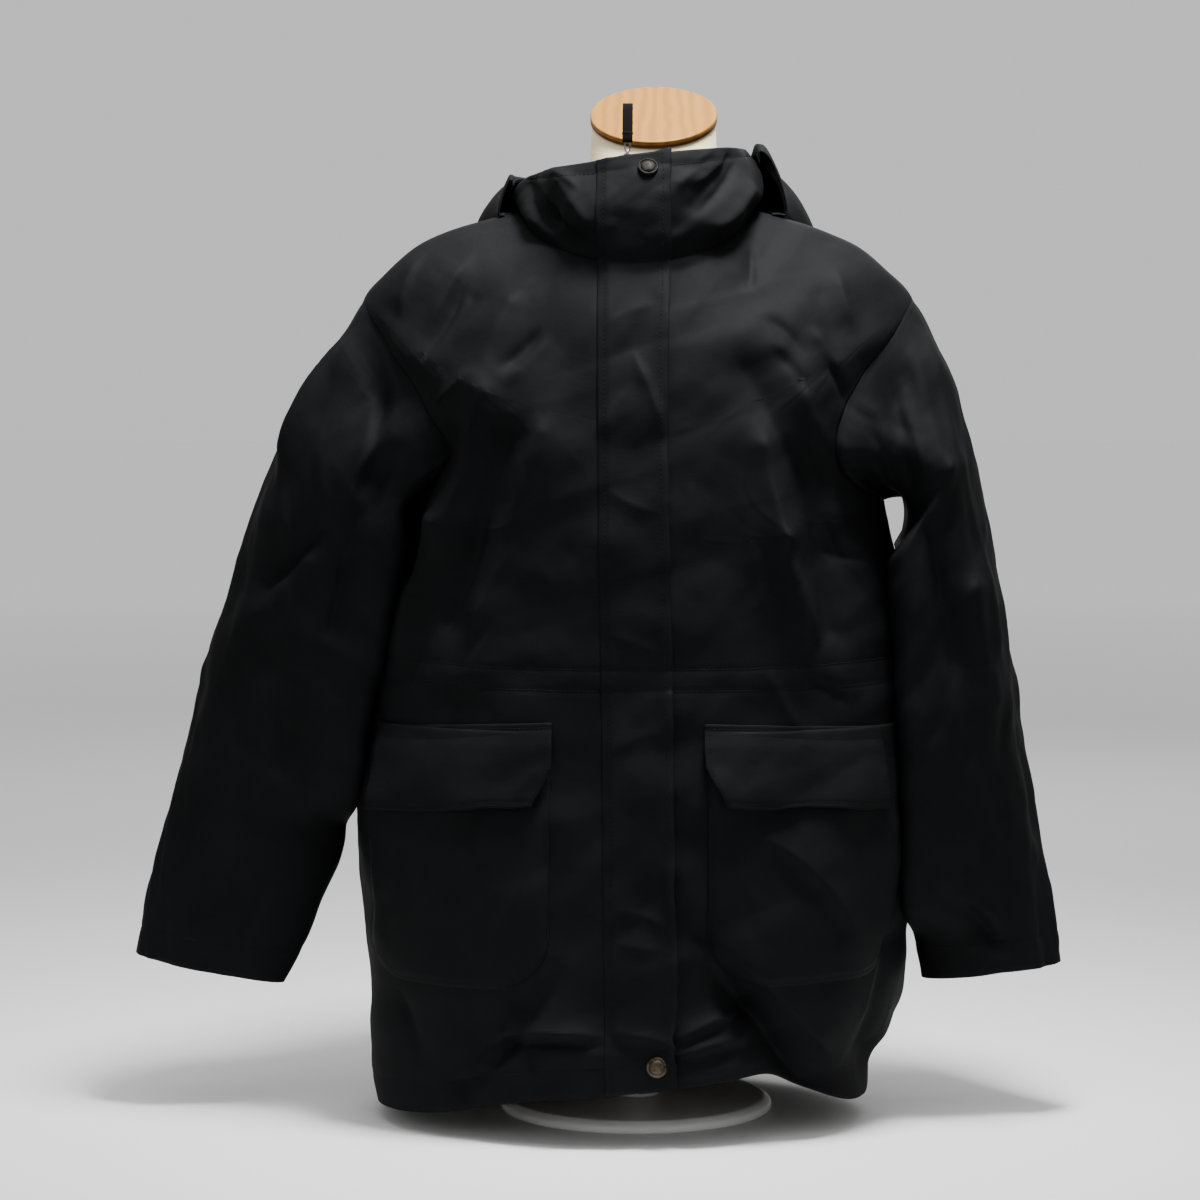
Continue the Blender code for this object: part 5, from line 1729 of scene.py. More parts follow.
@dataclass
class Zip:
    """The closed zip: tape, teeth, slider, and a pull of a wire ring and a loop of tape."""

    strip: FrontStrip
    wardrobe: Wardrobe
    half: float = 0.0072
    top: float = 0.92
    above_hem: float = 0.012
    tape_under: float = 0.0009
    teeth_under: float = 0.0004
    pitch: float = 0.0024
    tooth: Triple = (0.0019, 0.0009, 0.0002)
    tooth_out: float = 0.0011
    slider: Triple = (0.0062, 0.0060, 0.0085)
    bridge: Pair = (0.0022, 0.0009)
    hinge: Triple = (-0.0040, -0.0895, 0.780957)
    lean: float = math.radians(12)
    wire: float = 0.0010
    ring: Pair = (0.0052, 0.0100)
    loop: Triple = (0.00799, 0.0011, 0.0021)
    loop_span: Pair = (0.0078, 0.0386)
    bar: Triple = (0.0044, 0.0027, 0.0016)
    bar_up: float = 0.0146

    def tilt(self, points: Array) -> Array:
        """Leans points back about the hinge's X axis."""
        centre = np.asarray(self.hinge)
        local = points - centre
        y = local[..., 1] * math.cos(self.lean) + local[..., 2] * math.sin(self.lean)
        z = -local[..., 1] * math.sin(self.lean) + local[..., 2] * math.cos(self.lean)
        return stack(local[..., 0], y, z) + centre

    def ribbon(self, name: str, path: Array, wide: float, thick: float,
               axis: Triple = (1.0, 0.0, 0.0)) -> Piece:
        """A closed loop of flat band along a path in a plane, with rounded edges.

        Args:
            name: the piece's name.
            path: points round the loop.
            wide: width along the axis.
            thick: thickness.
            axis: the direction square to the path's plane.

        Returns:
            The piece.
        """
        ahead = unit(np.roll(path, -1, axis=0) - np.roll(path, 1, axis=0))
        out = unit(np.cross(ahead, axis))
        angle = circle(20)
        a = wide / 2 * np.sign(np.cos(angle)) * np.abs(np.cos(angle)) ** 0.35
        b = thick / 2 * np.sign(np.sin(angle)) * np.abs(np.sin(angle)) ** 0.6
        points = path[:, None] + a[:, None] * np.asarray(axis) + out[:, None] * b[:, None]
        return new_object(name, self.tilt(points), [grid_faces(numbers(*points.shape[:2], True, True))])

    def oval(self, low: float, high: float, reach: float, facing: bool = False) -> Array:
        """A long oval between two heights, reach to both sides, in the XZ plane if facing."""
        angle = circle(64)
        swing = reach * np.sign(np.cos(angle)) * np.abs(np.cos(angle)) ** 0.5
        z = (low + high) / 2 + (high - low) / 2 * np.sin(angle)
        return stack(self.hinge[0] - swing * facing, self.hinge[1] + swing * (not facing), z)

    def run(self, across: Array, under: float) -> tuple[Array, Array]:
        """Points and normals of columns down the zip, sunk a little under the fronts' face."""
        return self.strip.points(lambda z: np.outer(np.ones_like(z), across),
                                 self.strip.body.hem - self.above_hem, self.top,
                                 lambda x, z: 0.0 * x - under)

    def teeth(self) -> Piece:
        """Interlocked teeth down the middle of the tape, as small rounded bars."""
        line, out = (part[:, 0] for part in self.run(np.zeros(1), self.teeth_under))
        shift = np.array([self.tooth_out, 0.0, 0.0])
        return Needle(self.pitch, *self.tooth, 4).sew(
            "zip_teeth", [(line + shift, out), (line - shift, out)])

    def make(self) -> None:
        """Builds tape, teeth, slider and pull."""
        nickel, tape = Finish(self.wardrobe.nickel, "steel"), Finish(self.wardrobe.tape, "trim")
        grid = ClothGrid(*self.run(np.linspace(-self.half, self.half, 5), self.tape_under))
        dress(grid.make("zip_tape_cloth"), tape, replaced=["zip_tape"])
        dress(self.teeth(), nickel)
        middle = np.add(*(np.asarray(corner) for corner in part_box("zip_slider"))) / 2
        half = np.asarray(self.slider) / 2
        dress(pillow("zip_slider_body", middle, half * (1, 0.55, 1), 0.45), nickel,
              replaced=["zip_slider"])
        base = self.hinge[2]
        bridge = self.oval(middle[2] - half[2] * 0.6, base + self.wire * 1.3, half[1] * 0.95)
        dress(self.ribbon("zip_slider_bridge", bridge, *self.bridge), nickel)
        ring = self.oval(base, base + self.ring[1], (self.ring[0] - self.wire) / 2, True)
        dress(self.ribbon("zip_pull_ring", ring, self.wire, self.wire, (0.0, 1.0, 0.0)), nickel,
              "zip_pull", ["zip_pull_link"])
        low, high = self.loop_span
        loop = self.oval(base + low, base + high, self.loop[2])
        dress(self.ribbon("zip_pull_loop", loop, *self.loop[:2]), tape, "zip_pull",
              ["zip_pull_tape"])
        knot = self.tilt(np.add(self.hinge, (0.0, 0.0, self.bar_up)))
        dress(pillow("zip_pull_bar", knot, np.asarray(self.bar), 0.5), tape, "zip_pull")


def pillow(name: str, centre: Array, half: Array, power: float) -> Piece:
    """A rounded block: each axis is half times its sphere coordinate to a power, sign kept.

    Args:
        name: the piece's name.
        centre: its centre.
        half: half sizes.
        power: 1 for an ellipsoid, towards 0 for a box.

    Returns:
        The object.
    """
    lat = np.linspace(-math.pi / 2, math.pi / 2, 25)[:, None]
    lon = np.linspace(0.0, 2 * math.pi, 49)
    sphere = stack(np.cos(lat) * np.cos(lon), np.cos(lat) * np.sin(lon), np.sin(lat))
    points = centre + half * np.sign(sphere) * np.abs(sphere) ** power
    return new_object(name, points, [grid_faces(numbers(25, 49))], merge=True)


# --- dress form and set
@dataclass
class DressForm:
    """A hard-shelled torso covered in jersey, its wooden neck cap, pole and base."""

    body: BodyCut
    wardrobe: Wardrobe
    rings: Table
    neck_x: float = 0.0145
    neck_rings: tuple[Triple, ...] = ((0.785, 0.0510, -0.010),
                                                          (0.762, 0.0530, -0.006))
    neck_slope: float = 0.45
    neck_base: float = 0.74
    neck_drop: float = 0.003
    ridge_spread: float = math.radians(30)
    ridge_end: float = 0.105
    form_gap: float = 0.0010
    cap_radius: float = 0.0515
    cap_thick: float = 0.0062
    cap_edge: float = 0.0015
    cap_tilt: float = math.radians(30)
    cap_centre: Triple = (0.0145, -0.012, 0.8165)
    pole_radius: float = 0.014
    base_radius: float = 0.112
    base_thick: float = 0.010
    stand_y: float = 0.012
    around: int = 112

    def cap_axis(self) -> Array:
        """The neck cap faces up and forward."""
        return np.array([0.0, -math.sin(self.cap_tilt), math.cos(self.cap_tilt)])

    def knots(self) -> Array:
        """Rings of the torso and neck, from the neck's top to the hip.

        Returns:
            Rings by points by 3.
        """
        turn = circle(self.around)
        seat = np.asarray(self.cap_centre) - (self.cap_thick + SEAM_GAP) * self.cap_axis()
        radius = self.cap_radius - self.cap_edge
        y = seat[1] - radius * math.cos(self.cap_tilt) * np.cos(turn)
        rings = [stack(self.neck_x + radius * np.sin(turn), y,
                       seat[2] + math.tan(self.cap_tilt) * (y - seat[1]))]
        for (height, radius, middle), slope in zip(self.neck_rings, (self.neck_slope, 0.0)):
            y = middle - radius * np.cos(turn)
            rings.append(stack(self.neck_x + radius * np.sin(turn), y,
                               height + slope * (y - middle)))
        foot = self.body.plain(turn, np.zeros_like(turn))
        x = self.neck_x + (foot[:, 0] - self.neck_x) * self.neck_base
        rings.append(stack(x, foot[:, 1] * self.neck_base, foot[:, 2] - self.neck_drop))
        for down, extra in self.rings.rows:
            row = np.full_like(turn, down)
            off_side = np.abs(np.abs((turn % math.pi) - math.pi / 2))
            bearing = np.exp(-((off_side / self.ridge_spread) ** 4)) * (down < self.ridge_end)
            inset = CLOTH + self.form_gap + 0.0012 + extra * (1.0 - bearing)
            plain = self.body.plain(turn, row)
            rings.append(plain - slope_normal(self.body.plain, turn, row) * inset[:, None])
        rings[-1][:, 2] = rings[-1][:, 2].min()
        return np.array(rings)

    def torso(self) -> Piece:
        """The torso: its rings joined by Catmull-Rom curves, closed by small inner rings."""
        knots = self.knots()
        place = np.linspace(0.0, len(knots) - 1.0, 7 * (len(knots) - 1) + 1)
        cell = np.clip(np.floor(place).astype(int), 0, len(knots) - 2)
        slopes = np.gradient(knots, axis=0)
        rings = hermite(knots, slopes[cell], slopes[cell + 1], cell, (place - cell)[:, None, None])
        top, bottom = rings[0].mean(axis=0), rings[-1].mean(axis=0)
        shrink = np.array([0.0, 0.5, 0.97, 0.995])[:, None, None]
        lid = top + (rings[0] - top) * shrink
        floor = bottom + (rings[-1] - bottom) * shrink[::-1]
        points = np.concatenate([lid, rings, floor])
        faces = grid_faces(numbers(*points.shape[:2], across=True))
        return new_object("form_torso_cover", points, [faces], merge=True)

    def make(self) -> None:
        """Builds torso, cap with a ring of dark wood under its edge as painted shade, pole and base."""
        jersey, paint = Finish(self.wardrobe.jersey, "form"), Finish(self.wardrobe.paint, "form")
        wood, rim = Finish(self.wardrobe.maple, "wood"), Finish(self.wardrobe.rim_painted_shade, "wood")
        dress(self.torso(), jersey, replaced=["form_torso"])
        axis, r, low = self.cap_axis(), self.cap_radius, -self.cap_thick
        disc = rounded([(0.0, low), (r - 0.001, low), (r, low + 0.0030), (r - 0.0004, -0.0002),
                        (0.0, 0.0)], 0.0010)
        dress(turned("form_cap_disc", self.cap_centre, axis, disc, 128), wood,
              replaced=["form_neck_cap"])
        # The ring under the cap's edge, in the dark copy of the wood, is painted shade for the
        # underside's shadow.
        band = rounded([(r - 0.004, low), (r - 0.0002, low), (r - 0.0001, low + 0.0028),
                        (r - 0.004, low + 0.0032), (r - 0.004, low)], 0.0004)
        dress(turned("form_cap_rim_painted_shade", self.cap_centre, axis, band, 128), rim)
        top = float(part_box("form_pole")[1][2])
        foot = self.base_thick + SEAM_GAP
        p = self.pole_radius
        pole = rounded([(0.0, foot), (p + 0.005, foot), (p + 0.005, foot + 0.012),
                        (p, foot + 0.016), (p, top), (0.0, top)], 0.0015)
        at = (0.0, self.stand_y, 0.0)
        dress(turned("form_pole_tube", at, (0, 0, 1), pole, 64), paint, replaced=["form_pole"])
        b, t = self.base_radius, self.base_thick
        base = rounded([(0.0, 0.0), (b, 0.0), (b, t * 0.6), (b - 0.006, t), (0.0, t)], 0.0022)
        dress(turned("form_base_plate", at, (0, 0, 1), base, 128), paint, replaced=["form_base"])


@dataclass(frozen=True)
class Lamp:
    """An area light: where it stands, what it faces, its size, power and spread in degrees."""

    name: str
    place: Triple
    target: Triple
    size: Pair
    power: float
    spread: float = 180.0

    def make(self) -> None:
        """Adds the light, turned to its target."""
        data = bpy.data.lights.new(self.name, "AREA")
        data.shape = "RECTANGLE"
        data.size, data.size_y = self.size
        data.energy = self.power
        data.spread = math.radians(self.spread)
        obj = bpy.data.objects.new(self.name, data)
        obj.location = self.place
        facing = Vector(self.target) - Vector(self.place)
        obj.rotation_euler = facing.to_track_quat("-Z", "Y").to_euler()
        bpy.context.scene.collection.objects.link(obj)


@dataclass
class Studio:
    """Pale floor, soft lights from above and in front, and the camera of the picture."""

    azimuth: float = math.radians(2.5)
    elevation: float = math.radians(3.7)
    distance: float = 2.8
    target: Triple = (-0.0295, 0.0, 0.4215)
    half_width: float = 0.492
    lamps: tuple[Lamp, ...] = (
        Lamp("over", (0.19, -0.27, 1.80), (0.03, -0.07, 0.64), (0.34, 0.34), 15.0, 74.0),
        Lamp("sky", (0.0, -0.5, 2.5), (0.0, 0.0, 0.3), (1.6, 1.6), 30.0),
        Lamp("front", (-1.6, -2.2, 1.3), (0.0, 0.0, 0.45), (0.8, 0.8), 5.0),
        Lamp("back", (0.3, 2.2, 1.8), (0.0, 0.0, 0.5), (1.6, 1.2), 20.0))

    def camera(self) -> None:
        """Stands the camera at its distance from the target and fits the picture's width."""
        out = np.array([math.sin(self.azimuth) * math.cos(self.elevation),
                        -math.cos(self.azimuth) * math.cos(self.elevation),
                        math.sin(self.elevation)])
        data = bpy.data.cameras.new("camera")
        data.angle = 2 * math.atan(self.half_width / self.distance)
        data.dof.use_dof = False
        data.clip_start, data.clip_end = 0.05, 50.0
        obj = bpy.data.objects.new("camera", data)
        obj.location = Vector(self.target) + Vector(out * self.distance)
        obj.rotation_euler = Vector(-out).to_track_quat("-Z", "Y").to_euler()
        bpy.context.scene.collection.objects.link(obj)
        bpy.context.scene.camera = obj

    def make(self) -> None:
        """Builds floor, world, lamps and camera."""
        corners = np.array([(-30, -30, 0), (30, -30, 0), (30, 30, 0), (-30, 30, 0)], float)
        floor = new_object("floor", corners, [np.array([[0, 1, 2, 3]])])
        floor.data.materials.append(PalePaper().material())
        world = bpy.data.worlds.new("world")
        bpy.context.scene.world = world
        world.use_nodes = True
        background = world.node_tree.nodes["Background"]
        background.inputs["Color"].default_value = (1.0, 1.0, 1.0, 1.0)
        background.inputs["Strength"].default_value = 0.72
        for lamp in self.lamps:
            lamp.make()
        self.camera()


# --- tables
BODY_RINGS = Rings.read(
    "down z_front z_side z_back half_left half_right depth_front depth_back square dip",
    "square dip", (
    (0, 694, 740, 744, 94, 92, 100, 76, 1, 1.2), (35, 668, 732.5, 730, 122, 121, 109, 90, 1, 1.4),
    (75, 637, 721, 708, 156, 158, 118, 104, 0.98, 1.7),
    (105, 612, 708, 688, 183, 182, 124.5, 111, 0.96, 2),
    (130, 590, 690, 670, 205, 203, 129, 117, 0.95, 2),
    (155, 569, 666, 649, 223, 221, 132.5, 121, 0.94, 2),
    (195, 540, 622, 612, 213, 209, 137, 125, 0.93, 2),
    (235, 516, 580, 575, 205, 197, 139, 127, 0.93, 2),
    (275, 494, 540, 540, 201, 188, 140, 129, 0.93, 2),
    (311, 470, 504, 506, 202, 186, 140.5, 130, 0.92, 2),
    (355, 440, 463, 464, 209.5, 191.4, 141, 131, 0.91, 2),
    (410, 398, 410, 410, 215.5, 203, 142, 132, 0.9, 2),
    (445, 371, 375, 375, 218.5, 210, 142, 132, 0.9, 2),
    (520, 300, 300, 300, 222.2, 226, 146, 137, 0.9, 2),
    (600, 222, 222, 222, 224.3, 227.5, 150, 141, 0.89, 2),
    (665, 156, 156, 156, 223.5, 222.5, 152, 144, 0.88, 2),
    (713, 109, 109, 109, 219.2, 217.7, 153, 146, 0.88, 2),
    (748, 74.5, 74.5, 74.5, 206.3, 217.8, 154, 147, 0.88, 2),
    (765, 58, 58, 58, 195, 217.2, 154.5, 148, 0.88, 2),
    (790, 30, 30, 30, 191, 213, 155, 149, 0.88, 2)))

HEM_LINE = Table.read("turn height", "turn", (
    (-180, 14), (-150, 15), (-120, 13), (-90, 11), (-65, 15), (-42, 21), (-20, 36), (0, 43.5),
    (20, 53), (33, 56), (44, 44), (60, 28), (90, 20), (120, 19), (150, 16), (180, 14)))

COLLAR_RINGS = Rings.read(
    "up z_front z_side z_back half_left half_right depth_front depth_back square dip",
    "up dip square", (
    (0, 694, 740, 744, 94, 92, 100, 76, 1, 1.2), (0.25, 714, 750, 751, 101, 98, 106, 75, 1, 1.2),
    (0.5, 736, 760, 758, 102.5, 98.5, 106.5, 74, 1, 1.4),
    (0.75, 757, 769, 764, 98, 95, 100.5, 73, 1, 1.7), (1, 777.5, 777, 768, 90, 88, 92.5, 72, 1, 2)))

SLEEVE_COLUMNS = "along out_x out_z clear in_z depth"
SLEEVE_RIGHT = Table.read(SLEEVE_COLUMNS, "", (
    (0, 221, 666, 0, 504, 80), (12, 230.2, 650.5, 2.5, 505.5, 81), (30, 241.7, 634, 3.5, 498, 82),
    (65, 263.3, 601.5, 2.5, 484, 80), (100, 281.6, 568.8, 2.2, 468, 76),
    (135, 297.5, 536, 2.2, 450, 71), (170, 310.9, 503, 2.2, 430, 66), (240, 332.9, 437, 2.2, 385, 57),
    (310, 353.2, 371, 2.2, 335, 49), (380, 371.2, 304.6, 3, 280, 42), (450, 388.4, 238, 10.5, 225, 36),
    (520, 405.6, 171, 40.5, 160, 30), (565, 415, 127.5, 72.5, 103.5, 24)))
SLEEVE_LEFT = Table.read(SLEEVE_COLUMNS, "", (
    (0, 223, 666, 0, 504, 80), (12, 233.9, 650.2, 4, 505.5, 82), (30, 243.8, 634, 10.5, 500, 83),
    (65, 256.9, 601.5, 12.2, 488, 83), (100, 264.4, 569.1, 8.5, 473, 81),
    (135, 273.6, 536.5, 3.2, 456, 79), (170, 280.3, 504, 2.2, 436, 77),
    (240, 293, 438.8, 2.2, 388, 73), (310, 304.8, 373.3, 2.2, 338, 67),
    (380, 316.7, 307.8, 2.5, 282, 60), (450, 328.7, 242, 3, 225, 51),
    (520, 342.3, 176.1, 4.5, 165, 40), (565, 350.1, 126.5, 14.9, 112.3, 29)))

HOOD_SPREAD = Table.read("turn base reach rise rim mouth", "turn rim mouth", (
    (-95, 18, 24, 26, 1, 0), (-85, 18, 27, 28, 1, 0), (-72, 17, 36, 30, 0.95, 0),
    (-58, 15, 62, 35, 0.8, 0.05), (-40, 11, 128, 46, 0.8, 0.2), (-20, 8, 202, 54, 0.9, 0.3),
    (0, 6, 232, 56, 1, 0.31), (20, 8, 210, 57, 0.92, 0.28), (40, 11, 143, 54, 0.82, 0.18),
    (58, 15, 70, 47, 0.8, 0.05), (72, 18, 43, 50, 0.95, 0), (85, 19, 38, 53, 1, 0),
    (95, 21, 37, 48, 1, 0)))
HOOD_SECTION = Table.read("path share lift", "path share lift", (
    (0, 0, 0), (0.12, 0.3, 0.03), (0.24, 0.62, 0.05), (0.36, 0.9, 0.085), (0.44, 1.03, 0.25),
    (0.52, 1.03, 0.56), (0.64, 0.82, 0.9), (0.78, 0.5, 1.08), (0.9, 0.2, 1.06), (1, 0.03, 0.9)))
# places as (turn / 100, path), on the outer layer only
HOOD_FOLDS = folds(1.0, (
    (-60, 620, 20, 950, 90, -8), (220, 620, 360, 920, 90, -7), (-340, 640, -300, 900, 90, -7),
    (100, 660, 160, 900, 80, 5)))

STORM_EDGES = Table.read("z x_right x_left", "", (
    (30, -18, 37.5), (300, -21.5, 33.5), (586, -25.7, 28.6), (700, -27, 29), (800, -28.5, 29)))

FORM_RINGS = Table.read("down extra", "", (
    (30, 10), (50, 11), (75, 12), (100, 13), (122, 15), (142, 20), (160, 25), (185, 24), (215, 22),
    (250, 24), (290, 29), (340, 37), (400, 44), (450, 40), (500, 33)))

# Folds in mm: x0, z0, x1, z1, width, height; + stands out, - is a trough, seen from the front
FRONT_FOLDS = folds(1.7, (
    (-112, 590, -150, 490, 17, 6), (-150, 490, -186, 385, 16, 5), (-150, 560, -184, 450, 14, -5),
    (-70, 560, -118, 420, 17, 4.5), (-98, 560, -146, 410, 15, -5.5), (-128, 668, -150, 612, 18, -4.2),
    (-96, 660, -122, 596, 17, 3.8), (103, 550, 116, 480, 17, 5.5), (116, 480, 138, 400, 16, 6),
    (136, 530, 158, 405, 17, -5.5), (118, 625, 148, 555, 18, 3.8), (92, 610, 122, 545, 17, -4),
    (150, 670, 160, 625, 17, -3), (60, 165, 95, 110, 18, -6), (95, 110, 148, 45, 19, -8.5),
    (212, 150, 190, 60, 18, -7.5), (-86, 108, -135, 45, 18, -6.5), (-80, 80, -20, 76, 16, 3.5)))
BACK_FOLDS = folds(1.5, (
    (125, 560, 150, 450, 18, 5.5), (150, 450, 176, 350, 17, 4.5), (98, 550, 124, 430, 16, -5),
    (-120, 560, -150, 440, 18, 5.5), (-94, 540, -120, 420, 16, -5), (-24, 480, 4, 390, 18, -4),
    (-55, 230, -88, 40, 20, -7.5), (50, 240, 80, 40, 20, 6.5), (128, 190, 146, 40, 19, -7),
    (-150, 200, -162, 40, 19, 6)))
COLLAR_FOLDS = folds(1.3, (
    (-89, 757, -66, 734, 11, -7), (-66, 734, -45, 708, 11, -6), (-60, 764, -36, 726, 11, 5),
    (-82, 738, -62, 716, 11, 5), (90, 750, 66, 722, 11, 5.5), (78, 778, 48, 738, 13, -4.5),
    (60, 780, 38, 756, 11, 3.5)))
SLEEVE_RIGHT_FOLDS = folds(1.7, (
    (-253, 481, -298, 439, 13, -5), (-262, 455, -302, 412, 14, 3), (-226, 640, -283, 545, 15, 4),
    (-196, 620, -206, 520, 16, -6.5), (-218, 490, -236, 400, 15, -4.5),
    (-250, 380, -285, 290, 15, -4)))
SLEEVE_LEFT_FOLDS = folds(1.7, (
    (215, 640, 250, 530, 14, 4.5), (250, 530, 269, 434, 14, 4.5), (269, 434, 290, 344, 14, 4.5),
    (192, 600, 220, 520, 15, -6), (236, 480, 254, 380, 14, -4.5), (250, 182, 292, 150, 13, -4.5)))

# Creases in mm: x0, z0, x1, z1, bow, soft side, sharp side, height
FRONT_CREASES = creases(2.4, (
    (-69, 646, -107, 606, 2, 6, 3.2, -1.9), (-62, 640, -104, 596, 3, 9, 5, 1.4),
    (-168, 706, -190, 650, -2, 3.5, 9, 2), (-126, 704, -166, 636, -3, 4, 11, 2),
    (-131, 692, -178, 606, 4, 3.4, 15, -2.8), (-120, 668, -160, 590, -3, 11, 3.6, 1.8),
    (-118, 612, -158, 574, -4, 8, 4.5, 2), (-134, 575, -160, 530, 3, 4.5, 8, -1.8),
    (-118, 570, -172, 430, 6, 8.5, 4.2, 1.9), (-142, 512, -188, 375, -5, 4.5, 8, 1.8),
    (-112, 500, -160, 385, 5, 4.2, 7.5, -1.7), (-86, 480, -138, 372, -4, 9, 4.5, 1.3),
    (-158, 430, -186, 345, 3, 4.5, 7.5, -1.6), (-104, 410, -140, 345, -3, 7.5, 4.2, 1.4),
    (108, 628, 140, 588, 3, 3.4, 7, -1.9), (98, 654, 138, 618, 4, 3.6, 8, -1.4),
    (93, 714, 94, 670, 1, 3, 6, -1.6), (160, 696, 180, 636, -3, 4.5, 8.5, 2.2),
    (138, 645, 164, 602, 3, 8, 4.2, 2), (150, 624, 172, 574, 3, 4.6, 8.5, -2),
    (124, 580, 162, 500, 4, 4.5, 8.5, -1.8), (104, 538, 134, 410, -4, 4.2, 9, 2.4),
    (116, 470, 148, 388, 3, 8, 4.2, 1.7), (90, 490, 116, 400, -3, 9, 5, 1),
    (148, 500, 186, 420, 4, 4.5, 7.5, -1.5), (105, 382, 138, 322, -3, 4, 7.5, 1.7),
    (148, 470, 196, 458, -2, 6, 3.6, -1.4), (130, 372, 176, 340, 3, 4.5, 8, -1.4),
    (-64, 150, -144, 40, 6, 11, 4, 3), (-52, 146, -134, 34, 6, 4, 11, -3.2),
    (-50, 146, -94, 94, -4, 5, 7.5, -1.6), (-118, 84, -12, 88, 5, 11, 2.8, 3.2),
    (-122, 76, -12, 80, 5, 2.8, 9, -2.8), (-130, 62, -60, 60, -3, 6, 4, 1.3),
    (30, 80, 96, 106, 6, 6, 3, 3), (30, 70, 104, 86, 5, 6, 3, 2.8), (30, 60, 110, 70, -3, 7, 3.4, 1.8),
    (64, 172, 176, 44, 5, 30, 7, 4.2), (46, 158, 158, 26, 5, 8.5, 22, -5),
    (214, 150, 186, 78, -4, 5, 8, 1.8), (-190, 120, -170, 50, 3, 7.5, 4.5, -1.8)))
BACK_CREASES = creases(2.2, (
    (124, 575, 168, 430, -5, 8.5, 4.5, 2.2), (108, 520, 150, 400, 4, 4.5, 8, -1.8),
    (136, 500, 182, 372, -4, 4.5, 8, 1.7), (84, 470, 128, 378, 3, 8.5, 4.5, 1.3),
    (-120, 570, -160, 425, 5, 4.5, 8.5, 2.2), (-104, 510, -146, 395, -4, 7.5, 4.5, -1.7),
    (-70, 465, -112, 380, 3, 5, 8.5, 1.2), (-142, 640, -170, 560, 3, 5, 8.5, -1.8),
    (146, 640, 174, 566, -3, 8.5, 5, 2), (20, 470, -16, 388, 3, 8.5, 4.5, 1.2),
    (-56, 345, -80, 190, -4, 8.5, 5, 1.4), (62, 340, 88, 150, 4, 5, 9, -1.3),
    (-70, 200, -110, 60, 6, 9, 4.5, 2.4), (44, 190, 86, 52, -5, 4.5, 9, 2.1),
    (-20, 150, 16, 60, 4, 8, 4.5, -1.4), (130, 170, 170, 58, 5, 8.5, 4.5, 1.8),
    (-160, 170, -184, 60, -4, 4.5, 8.5, -1.9), (-60, 84, 10, 78, 4, 6, 3.8, 1.4)))
COLLAR_CREASES = creases(1.8, (
    (-94, 760, -36, 698, -6, 4.6, 3.6, -4.2), (-80, 766, -40, 716, -5, 6.5, 3.4, 2.6),
    (-66, 772, -40, 750, 2, 4.6, 3, 2.2), (-88, 742, -60, 712, -4, 6, 4, 2.2),
    (-76, 746, -52, 720, -3, 3.6, 5, -1.6), (96, 776, 52, 704, 7, 3.4, 6.5, 3.2),
    (90, 786, 46, 728, 5, 6, 3.4, -2.6), (78, 786, 42, 752, 4, 3.4, 6, 2.4),
    (66, 784, 36, 764, 3, 5, 3.4, -1.8), (98, 752, 70, 714, 5, 3.6, 6, -2.4),
    (86, 742, 58, 708, 4, 5.5, 3.6, 2)))
STORM_CREASES = creases(1.3, (
    (-2, 628, 26, 552, 4, 3.5, 13, 3.2), (-26, 552, 6, 600, 3, 9, 12, 1.8),
    (-24, 640, 26, 660, 4, 7, 12, 1.6), (-22, 520, 26, 498, -4, 6, 12, 1.4),
    (-20, 404, 28, 385, 3, 6, 9, 1.2), (-18, 310, 30, 330, 3, 8, 6, 1.3),
    (-14, 188, 34, 172, 4, 6, 4.6, 1.8), (-16, 166, 30, 158, -3, 6, 4, 1.4),
    (-18, 92, 40, 80, 3, 8, 3, 3.8), (-16, 80, 38, 66, 3, 3.4, 8, -2.2)))
SLEEVE_RIGHT_CREASES = creases(2.4, (
    (-186, 650, -236, 560, 5, 4, 12, -2.4), (-180, 600, -226, 520, 4, 10, 3.6, 2),
    (-186, 560, -216, 470, 3, 3.6, 10, -2), (-244, 488, -304, 434, 3, 7, 3.4, -2.2),
    (-250, 476, -306, 422, 3, 5, 8, 1.6), (-222, 660, -292, 510, -5, 3.6, 11, 2.6),
    (-238, 620, -262, 560, 3, 8, 4.5, -1.4), (-205, 600, -240, 470, 5, 9, 5, 1.8),
    (-226, 470, -252, 370, 4, 4.5, 8.5, -1.7), (-240, 410, -270, 310, -4, 8.5, 4.5, 1.6),
    (-250, 340, -290, 240, 4, 5, 9, -1.4), (-310, 300, -330, 200, -3, 9, 5, 1.2),
    (-300, 190, -330, 130, 3, 5, 8, -1.4), (-395, 145, -350, 136, 3, 6, 4, 1.4)))
SLEEVE_LEFT_CREASES = creases(2.4, (
    (180, 668, 226, 580, 4, 11, 3.6, -2.4), (176, 620, 214, 540, -4, 3.6, 10, 2.2),
    (178, 580, 208, 500, 4, 9, 3.6, -2.2), (186, 540, 216, 476, 3, 3.6, 8, 1.8),
    (222, 680, 300, 330, 4, 10, 4, 3.4), (232, 640, 276, 430, 3, 3.6, 12, -1.6),
    (262, 450, 294, 338, -3, 4.5, 8.5, 1.2), (200, 640, 222, 540, -4, 8, 4.5, -2),
    (212, 590, 236, 490, 4, 4.5, 8.5, 1.6), (232, 500, 250, 400, -3, 8, 4.5, -1.6),
    (240, 400, 262, 300, 3, 4.5, 8.5, 1.3), (270, 320, 296, 230, 3, 9, 5, -1.2),
    (250, 180, 296, 142, 7, 4.5, 3.4, -2), (252, 190, 302, 154, 7, 6, 3.6, 1.8),
    (258, 146, 310, 134, 3, 5, 3.6, 1.4), (296, 640, 262, 600, 2, 5, 8, 1.4)))
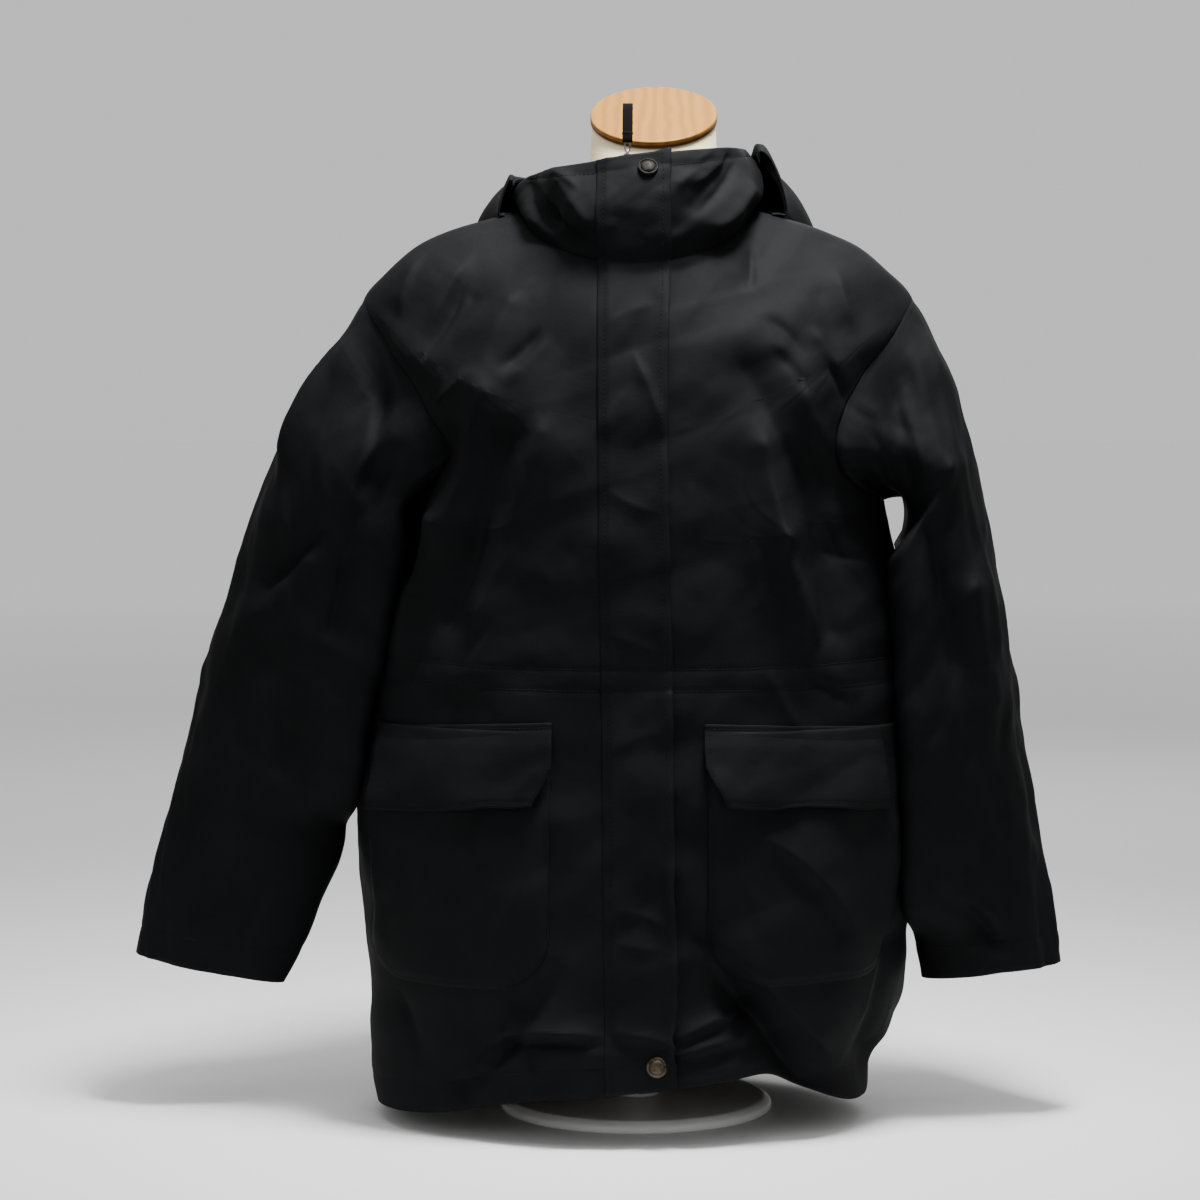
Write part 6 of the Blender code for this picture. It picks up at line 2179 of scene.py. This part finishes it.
BACK_OF_LEFT = creases(2.2, (
    (222, 640, 258, 520, 4, 8.5, 4.5, 2), (236, 520, 268, 420, -4, 4.5, 8.5, -1.8),
    (252, 420, 284, 300, 4, 8.5, 5, 1.6), (262, 220, 310, 180, 4, 5, 8.5, -1.6)))
BACK_OF_RIGHT = creases(2.2, (
    (-230, 620, -276, 500, 4, 4.5, 8.5, 2), (-240, 500, -290, 400, -4, 8.5, 4.5, -1.7),
    (-262, 400, -312, 290, -3, 5, 8.5, 1.6), (-300, 250, -350, 190, -4, 8.5, 5, 1.4)))

POCKET_SHAPES = (
    PocketShape(Side.LEFT, *np.divide((
        61, 212, 327, 127.5, 45, 30, 58.7, 196.5, 333.5, 326.5, 64, 16, 30), MM), creases(1.0, (
        (88, 256, 186, 138, 14, 18, 4, 5.8), (100, 240, 170, 150, 10, 8, 12, -1.6),
        (80, 230, 110, 150, 4, 8, 6, 1.4), (170, 240, 196, 170, 3, 6, 9, -1.4)))),
    PocketShape(Side.RIGHT, *np.divide((
        63, 213, 327, 123, 45, 30, 61.1, 204.5, 334, 325, 66, 13, 31), MM), creases(1.0, (
        (-70, 256, -118, 140, 5, 12, 6, 3), (-120, 245, -170, 160, 6, 7, 11, -1.6),
        (-150, 230, -188, 150, -5, 10, 5.5, 1.6)))))
SNAP_PLACES = {"snap_top": (0.0122, 0.7641), "snap_hem": (0.0221, 0.0655)}


def main() -> None:
    """Builds the form, the jacket and the studio, in the order they are put together."""
    logging.basicConfig(level=logging.INFO, format="%(name)s %(message)s")
    wardrobe = Wardrobe()
    shell = Shell(wardrobe, Needle())
    body = BodyCut(BODY_RINGS, HEM_LINE, FRONT_FOLDS, BACK_FOLDS, FRONT_CREASES, BACK_CREASES)
    collar = CollarCut(COLLAR_RINGS, COLLAR_FOLDS, COLLAR_CREASES)
    panels = Panels(body)
    strip = FrontStrip(body, collar, panels)
    DressForm(body, wardrobe, FORM_RINGS).make()
    Bodice(shell, panels).make()
    for side, rings, folds, creases, behind, seed in (
            (Side.LEFT, SLEEVE_LEFT, SLEEVE_LEFT_FOLDS, SLEEVE_LEFT_CREASES, BACK_OF_LEFT, 83),
            (Side.RIGHT, SLEEVE_RIGHT, SLEEVE_RIGHT_FOLDS, SLEEVE_RIGHT_CREASES, BACK_OF_RIGHT,
             97)):
        Sleeve(shell, SleeveCut(side, rings, folds, creases, behind,
                                Unevenness(seed))).make(panels)
    Collar(shell, panels, collar).make()
    Hood(shell, body, HOOD_SPREAD, HOOD_SECTION, HOOD_FOLDS).make()
    flap = StormFlap(shell, strip, STORM_EDGES, STORM_CREASES)
    flap.make()
    for shape in POCKET_SHAPES:
        Pocket(shell, body, shape).make()
    Zip(strip, wardrobe).make()
    for name, (x, z) in SNAP_PLACES.items():
        if name == "snap_top":
            low, high = collar.rings.at("z_front", np.array([0.0, 1.0]))
            up = np.array((z - low) / (high - low))
            turn = collar.rings.turn_at_x(np.array(x), up)
            point, normal = collar.surface(turn, up), collar.normal(turn, up)
        else:
            turn, down = body.find_on_front(np.array(x), np.array(z))
            point, normal = body.surface(turn, down), body.normal(turn, down)
        over = float(flap.relief(np.array(x), np.array(z)))
        # The top snap takes the metal copy painted dark as shade, the hem snap the copy painted light.
        metal = wardrobe.pewter_painted_shade if name == "snap_top" else wardrobe.brass_painted_light
        Snap(name, Finish(metal, "snap")).make(point + normal * over, normal)
    Studio().make()


if __name__ == "__main__":
    main()
